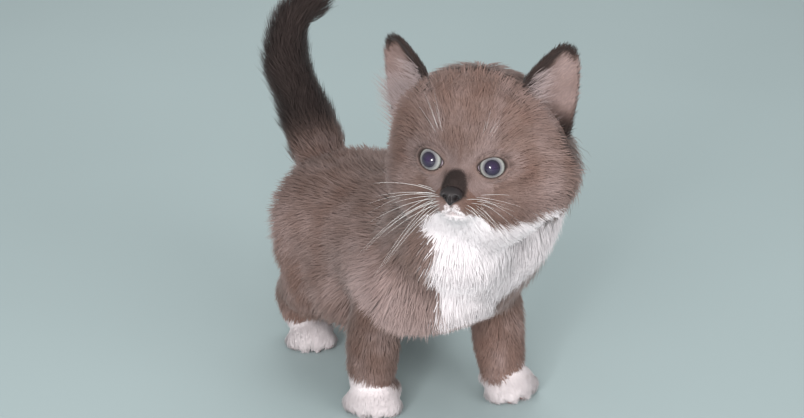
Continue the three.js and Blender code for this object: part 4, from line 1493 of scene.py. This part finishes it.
class KittenColours(bpy.types.PropertyGroup):
    """Colours of the kitten's coat, skin and eyes"""

    brown: colour_property("Brown", "Main colour of the coat", (0.212, 0.138, 0.118))
    warm: colour_property("Warm brown", "Muzzle, forehead and legs", (0.190, 0.104, 0.080))
    # Pale also paints the light on the right shoulder, rump and breast
    pale: colour_property("Pale", "Cheeks, brows and insides of the ears", (0.36, 0.27, 0.26))
    # Dark also paints the shade in the ears' hollows, under and beside the eyes and between the toes
    dark: colour_property("Dark", "Tail, ears and blotch on the nose", (0.036, 0.0255, 0.0235))
    white: colour_property("White", "Bib and mittens", (0.80, 0.725, 0.74))
    iris: colour_property("Iris", "Grey of the iris", (0.31, 0.305, 0.285))
    # The pupil's deep violet is painted eyeshine, a reflection of a flash
    pupil: colour_property("Pupil", "Deep violet of the pupil", (0.012, 0.005, 0.022))
    nose: colour_property("Nose", "Bare leather of the nose", (0.014, 0.0095, 0.0100))
    pad: colour_property("Pads", "Bare pads of the paws", (0.35, 0.2, 0.19))
    floor: colour_property("Floor", "Pale floor and backdrop", (0.37, 0.44, 0.445))


# Building steps
def aim_at(item, aim, bearing, rise, distance):
    """Sets a camera or light at a bearing and a rise from the aim, in degrees, and turns it to the aim."""
    a, b = math.radians(bearing), math.radians(rise)
    way = Vector((math.sin(a) * math.cos(b), -math.cos(a) * math.cos(b), math.sin(b)))
    item.location = aim + way * distance
    item.rotation_euler = (-way).to_track_quat("-Z", "Y").to_euler()
    bpy.context.collection.objects.link(item)


class KITTEN_OT_stage(bpy.types.Operator):
    """Adds the floor, the soft lights and the camera"""

    bl_idname = "kitten.stage"
    bl_label = "Stage"

    def execute(self, context):
        colours = context.scene.kitten_colours
        bpy.ops.object.select_all(action="DESELECT")
        bpy.ops.mesh.primitive_plane_add(size=6)
        floor = context.active_object
        floor.name = "floor"
        floor.data.materials.append(floor_material(colours.floor))

        world = bpy.data.worlds.new("Studio")
        world.use_nodes = True
        background = world.node_tree.nodes["Background"]
        background.inputs[0].default_value = (0.88, 0.94, 0.95, 1)
        background.inputs[1].default_value = 0.55
        context.scene.world = world

        aim = Vector(to_scene((-2.7, 34.1, 90.0)))
        camera_data = bpy.data.cameras.new("camera")
        camera_data.sensor_width = 36
        camera_data.lens = 66.09
        camera_data.clip_start = 0.01
        camera = bpy.data.objects.new("camera", camera_data)
        aim_at(camera, aim, -32, 24, 0.720)
        context.scene.camera = camera

        # Each light: its bearing and rise from the kitten in degrees, distance, size and power
        for name, bearing, rise, distance, size, power in (
            ("key", -44, 27, 1.1, 0.7, 8.3),
            ("fill", 14, 16, 1.2, 0.8, 6.5),
            ("rim", 150, 48, 1.1, 0.6, 4.2),
            ("glint", -53, 10, 0.85, 0.12, 2.4),
        ):
            light_data = bpy.data.lights.new(name, "AREA")
            light_data.size = size
            light_data.energy = power
            light = bpy.data.objects.new(name, light_data)
            light.visible_glossy = name == "glint"
            aim_at(light, aim, bearing, rise, distance)
        context.scene.view_settings.view_transform = "Standard"
        return {"FINISHED"}


class KITTEN_OT_skin(bpy.types.Operator):
    """Builds the skin of the body, with its lids, mouth, toes and ears, and says how the coat grows on it"""

    bl_idname = "kitten.skin"
    bl_label = "Skin"

    def execute(self, context):
        cloud = Cloud()
        forms = body_forms(cloud)
        ears = [ear_skin(cloud, side) for side in (1, -1)]
        skin = draw_skin(forms, ears, context.scene.kitten_sizes.skin_grain)

        points, normals = from_scene(read_points(skin)), read_normals(skin)
        lies, fields, regions = cloud.read_at(points, normals)
        edges = read_values(skin.data.edges, "vertices", 2, np.int32)
        shade_rounds, coat_rounds = 14, 22
        soft_normals = unit(neighbour_mean(normals, edges, shade_rounds))
        both = neighbour_mean(np.hstack([lies, fields]), edges, coat_rounds)
        lies, fields = unit(both[:, :3]), both[:, 3:]
        lies = trim_coat(points, regions, lies, fields)
        marks = ear_markings_and_shade(points, normals, markings(points, regions), regions)

        write_attribute(skin.data, "lie", lies)
        write_attribute(skin.data, "shade", soft_normals)
        for index, name in enumerate(FIELDS):
            write_attribute(skin.data, name, fields[:, index])
        write_attribute(skin.data, "region", regions.astype(float))
        write_attribute(skin.data, "Markings and painted light", marks)
        write_attribute(skin.data, "Hair", np.tile((0.15, 0.5, 0.0, 1.0), (len(points), 1)))
        group = coat_colour_group()
        material = coat_material("Skin", group, context.scene.kitten_colours, 0.0, 0.3 * MM)
        finish_piece(skin, material, "brown_coat", *FLESH)
        return {"FINISHED"}


class KITTEN_OT_eyes(bpy.types.Operator):
    """Adds the eyeballs, each with its clear bulge over the iris"""

    bl_idname = "kitten.eyes"
    bl_label = "Eyes"

    def execute(self, context):
        scene = context.scene
        material = eye_material(scene.kitten_colours, scene.kitten_sizes)
        bulge_edge = math.radians(42)
        bulge_height = 0.085
        for side, node in ((1, "eye_left"), (-1, "eye_right")):
            def shape(ball, side=side):
                away = np.arccos(np.clip(ball[:, 2], -1, 1))
                bulge = bulge_height * (1 - smoothstep(away, 0, bulge_edge))
                own = ball[:, [0, 2, 1]] * (EYE_RADIUS * (1 + bulge))[:, None]
                return head_point(eye_place(side) + own @ eye_axes(side, GAZE_TURN))

            piece, ball = ball_piece(f"eyeball_{node[4:]}", 72, 60, shape)
            write_attribute(piece.data, "gaze", ball)
            finish_piece(piece, material, "eye", node)
        return {"FINISHED"}


class KITTEN_OT_nose(bpy.types.Operator):
    """Adds the bare leather of the nose with its two nostrils"""

    bl_idname = "kitten.nose"
    bl_label = "Nose"

    def execute(self, context):
        half_width, half_above, half_below, half_deep, lean = 4.8, 2.9, 4.6, 2.4, 0.26

        def shape(ball):
            x, z, y = ball.T
            taper = np.where(z > 0, 1, 1 - 0.72 * smoothstep(-z, 0, 1))
            left = x * (half_width * taper)
            front = half_deep * np.sign(y) * np.abs(y) ** 0.6
            top = z * np.where(z > 0, half_above, half_below) + 0.6 * (1 - x * x) * (z > 0)
            out = np.abs(left)
            wing = np.exp(-(((out - 3.4) / 1.2) ** 2) - ((top + 0.6) / 1.6) ** 2)
            dent = np.exp(-(((out - 2.6) / 0.95) ** 2) - ((top + 1.0) / 0.9) ** 2)
            slit = np.exp(-(((out - 3.7) / 1.0) ** 2) - ((top + 1.9) / 0.5) ** 2)
            groove = ridge(left, 0, 0.45) * smoothstep(-top, -0.5, 1.5)
            front = front + 0.5 * wing * (y > 0)
            front = front - (2.4 * dent + 1.5 * slit + 0.6 * groove) * (y > 0)
            return head_point(np.stack([left, front - lean * top + 31.5, top - 11.8], 1))

        piece = ball_piece("nose_leather", 72, 56, shape)[0]
        colours = context.scene.kitten_colours
        finish_piece(piece, leather_material("Nose leather", colours.nose, 0.5, 0.45, 0.2), "nose", "nose")
        return {"FINISHED"}


class KITTEN_OT_pads(bpy.types.Operator):
    """Adds the bare pads under the paws"""

    bl_idname = "kitten.pads"
    bl_label = "Pads"

    def execute(self, context):
        material = leather_material("Pads", context.scene.kitten_colours.pad, 0.6, 0.5, 0.0)
        pads = []
        for name, leg in LEGS.items():
            half, _high = paw_sizes(leg)
            beans = [((0, -0.25 * half, 2.2), (0.46 * half, 0.4 * half, 2.4))]
            beans += [((half * a, half * (r + 0.12), 2.0), (2.6, 3.0, 2.2)) for a, r in PAW_TOES]
            for index, (centre, half_sizes) in enumerate(beans):
                def shape(ball, centre=centre, half_sizes=half_sizes, leg=leg):
                    placed = ball * half_sizes + centre
                    placed[:, 2] = np.maximum(placed[:, 2], 0.0)
                    return paw_place(leg, placed)
                pads.append(ball_piece(f"pad_{name}_{index}", 16, 10, shape)[0])
        finish_piece(join_pieces(pads, "pads"), material, "nose")
        return {"FINISHED"}


def coat_parts(roots):
    """Each piece of the coat: its roots, its hairs' stations, its slot and its tuft size."""
    paw_top, waist, face_hair, brow_hair = 15.0, 40, 7.5, 12
    region, length = roots["region"], roots["length"]
    x, y, z = roots["root"].T
    legs, hind = region_is(region, *LEGS), y > waist
    paws = legs & (z < paw_top)
    legs = legs & ~paws
    head, torso = region_is(region, "head"), region_is(region, "torso")
    face = head & (length < face_hair)
    brow = head & ~face & (length < brow_hair)
    return {
        "coat_face": (face, SHORT_HAIR, "brown_coat", 5),
        "coat_brow": (brow, SHORT_HAIR, "brown_coat", 8),
        "coat_head": (head & ~face & ~brow, LONG_HAIR, "brown_coat", 12),
        "coat_ears": (region_is(region, "ears"), SHORT_HAIR, "dark_coat", 5),
        "coat_neck": (region_is(region, "neck"), SHORT_HAIR, "white_coat", 11),
        "coat_torso_left": (torso & (x >= 0), SHORT_HAIR, "brown_coat", 16),
        "coat_torso_right": (torso & (x < 0), SHORT_HAIR, "brown_coat", 16),
        "coat_tail": (region_is(region, "tail"), SHORT_HAIR, "dark_coat", 14),
        "coat_forelegs": (legs & ~hind, SHORT_HAIR, "brown_coat", 10),
        "coat_hindlegs": (legs & hind, SHORT_HAIR, "brown_coat", 10),
        "coat_forepaws": (paws & ~hind, SHORT_HAIR, "white_coat", 4),
        "coat_hindpaws": (paws & hind, SHORT_HAIR, "white_coat", 4),
    }


def coat_piece(name, roots, stations, tuft, sizes, rng):
    """One piece of the coat, with ragged edges to its white, which dulls a little below the bib."""
    hairs, tone = tuft_hairs(roots, rng, sizes.clumping, 0.2, tuft)
    marks = roots["marks"].copy()
    ragged = rng.uniform(-0.2, 0.2, len(marks))
    marks[:, 0] = smoothstep(marks[:, 0] + ragged, 0.3, 0.7)
    marks[:, 1] = np.clip(marks[:, 1] * (1 - marks[:, 0]), 0, 1)
    marks[:, 0] *= 0.8 + 0.2 * smoothstep(roots["root"][:, 2], 62, 84)
    sunk = np.clip(0.08 * roots["length"], 0.2, 0.9)
    return build_hairs(name, hairs, stations, sunk, 0.32, marks, tone, roots["region"])


class KITTEN_OT_coat(bpy.types.Operator):
    """Grows the coat in tufts over the skin, one mesh for each part of the body"""

    bl_idname = "kitten.coat"
    bl_label = "Coat"

    def execute(self, context):
        scene = context.scene
        sizes = scene.kitten_sizes
        skin = bpy.data.objects.get("skin")
        if skin is None:
            raise RuntimeError("the coat grows on the skin, so the skin is built first")
        rng = np.random.default_rng(7)
        roots = grow_roots(skin, sizes.coat_amount, rng)
        roots["length"] = roots["length"] * sizes.coat_length
        material = coat_material("Coat", bpy.data.node_groups["Coat colour"], scene.kitten_colours, 0.2, 0)
        most_triangles = 195000
        for name, (wanted, stations, slot, tuft) in coat_parts(roots).items():
            chosen = np.flatnonzero(wanted)
            chosen = chosen[np.argsort(roots["root"][chosen, 1], kind="stable")]
            shares = math.ceil(len(chosen) * (6 * len(stations) - 2) / most_triangles)
            for index, share in enumerate(np.array_split(chosen, max(1, shares))):
                label = name if shares == 1 else f"{name}_{index + 1}"
                own = {key: values[share] for key, values in roots.items()}
                piece = coat_piece(label, own, stations, tuft, sizes, rng)
                finish_piece(piece, material, slot, smooth=False)
        return {"FINISHED"}


def whisker_hairs(longest, rng):
    """Four rows of whiskers on each side of the muzzle and five long hairs over each eye."""
    # Each side: its share of the longest whisker, their width and droop, and the same for the brow hairs
    ways, lies, lengths, widths, droops = [], [], [], [], []
    for side, share, wide, droop, brow_share, brow_wide in (
        (1, 0.45, 0.12, 0.26, 0.6, 0.1),
        (-1, 0.83, 0.21, 0.34, 1.0, 0.15),
    ):
        for row in range(4):
            for column in range(4):
                ways.append((side * (5.2 + 1.9 * column), 28.2 - 0.8 * column, -13.5 - 1.7 * row))
                spread = rng.normal(0, 0.12, 2)
                lies.append((side * 1.0, 0.2 - 0.2 * column + spread[0], 0.22 - 0.26 * row + spread[1]))
                lengths.append(longest * share * (0.62 + 0.13 * column) * rng.uniform(0.75, 1.0))
                widths.append(wide)
                droops.append(droop + 0.1 * row)
        for index in range(5):
            ways.append((side * (9.0 + 0.8 * index), 22.5, 11.5 + 1.4 * (index % 2)))
            lies.append((side * (0.12 + 0.1 * index) + rng.normal(0, 0.08), 0.3, 1.0))
            lengths.append(rng.uniform(18, 27) * brow_share)
            widths.append(brow_wide)
            droops.append(0.12)
    root, lie, length = on_head(ways), unit(head_way(lies)), np.array(lengths)
    out = unit(root - HEAD_PLACE)
    side_way = unit(np.cross(lie, UP + 0.01 * HEAD_FRONT))
    return {
        "root": root - 0.5 * out, "out": unit(np.cross(side_way, lie)), "shade": unit(out + 0.6 * UP),
        "lie": lie, "side": side_way, "length": length, "rise": np.zeros(len(root)),
        "width": np.array(widths), "sway": rng.normal(0, 0.06, len(root)) * length,
        "pull": (-length * np.array(droops))[:, None] * UP,
    }


def ear_hairs(rng):
    """Long pale hairs that spring from the inner and then the outer edge of each ear's opening."""
    roots, ways, lengths, facing = [], [], [], []
    for side, outer_count, outer_top, outer_reach in ((1, 60, 0.1, 0.3), (-1, 420, 0.5, 0.95)):
        base, run, rise, opening, across = ear_frame(side)
        inward = across * (-side * np.sign(across @ HEAD_LEFT))
        # Each fan: its number of hairs, the ear's shares of height and width they spring from, the way and
        # depth of that edge, how far they lean out and stand up, and how much shorter they get upwards
        fans = (
            (
                240, (-0.12, 0.62), (0.35, 0.98), 0.92 * inward, 4.0,
                (-inward, 0.3, 0.9), (0.3, 0.9), 0.55, -1,
            ),
            (
                outer_count, (-0.16, outer_top), (0.0, outer_reach), -0.9 * inward, 3.0,
                (side * HEAD_LEFT, 0.1, 0.7), (0.6, 1.0), 0.5, 0,
            ),
        )
        for count, heights, reaches, edge_way, deep, (fan, least, most), rises, shorter, lowest in fans:
            for _ in range(count):
                t = rng.uniform(*heights)
                place = rng.uniform(*reaches)
                roots.append(base + run * t + edge_way * ear_half(t) * place - opening * deep * (1 - place))
                way = fan * rng.uniform(least, most) + rise * rng.uniform(*rises)
                ways.append(unit(way + opening * rng.uniform(0.2, 0.6)))
                lengths.append(rng.uniform(9, 18) * (1 - shorter * max(t, lowest)))
                facing.append(opening + 0.3 * UP)
    lie, length = np.array(ways), np.array(lengths)
    side_way = unit(np.cross(lie, UP + 0.3 * HEAD_FRONT))
    return {
        "root": np.array(roots), "out": unit(np.cross(side_way, lie)), "shade": unit(facing), "lie": lie,
        "side": side_way, "length": length, "rise": 0.12 * length,
        "width": rng.uniform(0.22, 0.38, len(lie)), "sway": rng.normal(0, 0.1, len(lie)) * length,
        "pull": np.zeros((len(lie), 3)),
    }


class KITTEN_OT_whiskers(bpy.types.Operator):
    """Adds the whiskers, the long hairs of the brows and the tufts that spring from the ears"""

    bl_idname = "kitten.whiskers"
    bl_label = "Whiskers"

    def execute(self, context):
        rng = np.random.default_rng(21)
        stations = [(s, 1 - 0.85 * s) for s in (0, 0.12, 0.25, 0.38, 0.5, 0.62, 0.75, 0.88)]
        hairs = whisker_hairs(context.scene.kitten_sizes.whisker / MM, rng)
        count = len(hairs["root"])
        marks = np.tile((1.0, 0.0, 0.0, 0.0), (count, 1))
        regions = np.full(count, REGIONS.index("head"))
        whiskers = build_hairs("whiskers", hairs, stations, 0.0, 0.6, marks, np.full(count, 0.7), regions)
        finish_piece(whiskers, hair_material("Whiskers", (0.85, 0.82, 0.8), 0.5), "white_coat")

        hairs = ear_hairs(rng)
        count = len(hairs["root"])
        marks = np.tile((0.14, 0.1, 0.85, 0.0), (count, 1))
        regions = np.full(count, REGIONS.index("ears"))
        lining = build_hairs("ear_tufts", hairs, stations[::2], 0.5, 0.3, marks, rng.random(count), regions)
        finish_piece(lining, bpy.data.materials["Coat"], "brown_coat")
        return {"FINISHED"}


STEPS = (
    KITTEN_OT_stage, KITTEN_OT_skin, KITTEN_OT_eyes, KITTEN_OT_nose, KITTEN_OT_pads, KITTEN_OT_coat,
    KITTEN_OT_whiskers,
)


class KITTEN_PT_panel(bpy.types.Panel):
    """Lists the kitten's sizes, colours and building steps"""

    bl_idname = "KITTEN_PT_panel"
    bl_label = "Kitten"
    bl_space_type = "VIEW_3D"
    bl_region_type = "UI"
    bl_category = "Kitten"

    def draw(self, context):
        scene = context.scene
        for group in (scene.kitten_sizes, scene.kitten_colours):
            box = self.layout.box()
            for name in group.__annotations__:
                box.prop(group, name)
        for step in STEPS:
            self.layout.operator(step.bl_idname)


CLASSES = (KittenSizes, KittenColours, *STEPS, KITTEN_PT_panel)


def register():
    for cls in CLASSES:
        bpy.utils.register_class(cls)
    bpy.types.Scene.kitten_sizes = bpy.props.PointerProperty(type=KittenSizes)
    bpy.types.Scene.kitten_colours = bpy.props.PointerProperty(type=KittenColours)


def unregister():
    del bpy.types.Scene.kitten_colours
    del bpy.types.Scene.kitten_sizes
    for cls in reversed(CLASSES):
        bpy.utils.unregister_class(cls)


def main():
    register()
    bpy.ops.kitten.stage()
    bpy.ops.kitten.skin()
    bpy.ops.kitten.eyes()
    bpy.ops.kitten.nose()
    bpy.ops.kitten.pads()
    bpy.ops.kitten.coat()
    bpy.ops.kitten.whiskers()


if __name__ == "__main__":
    main()
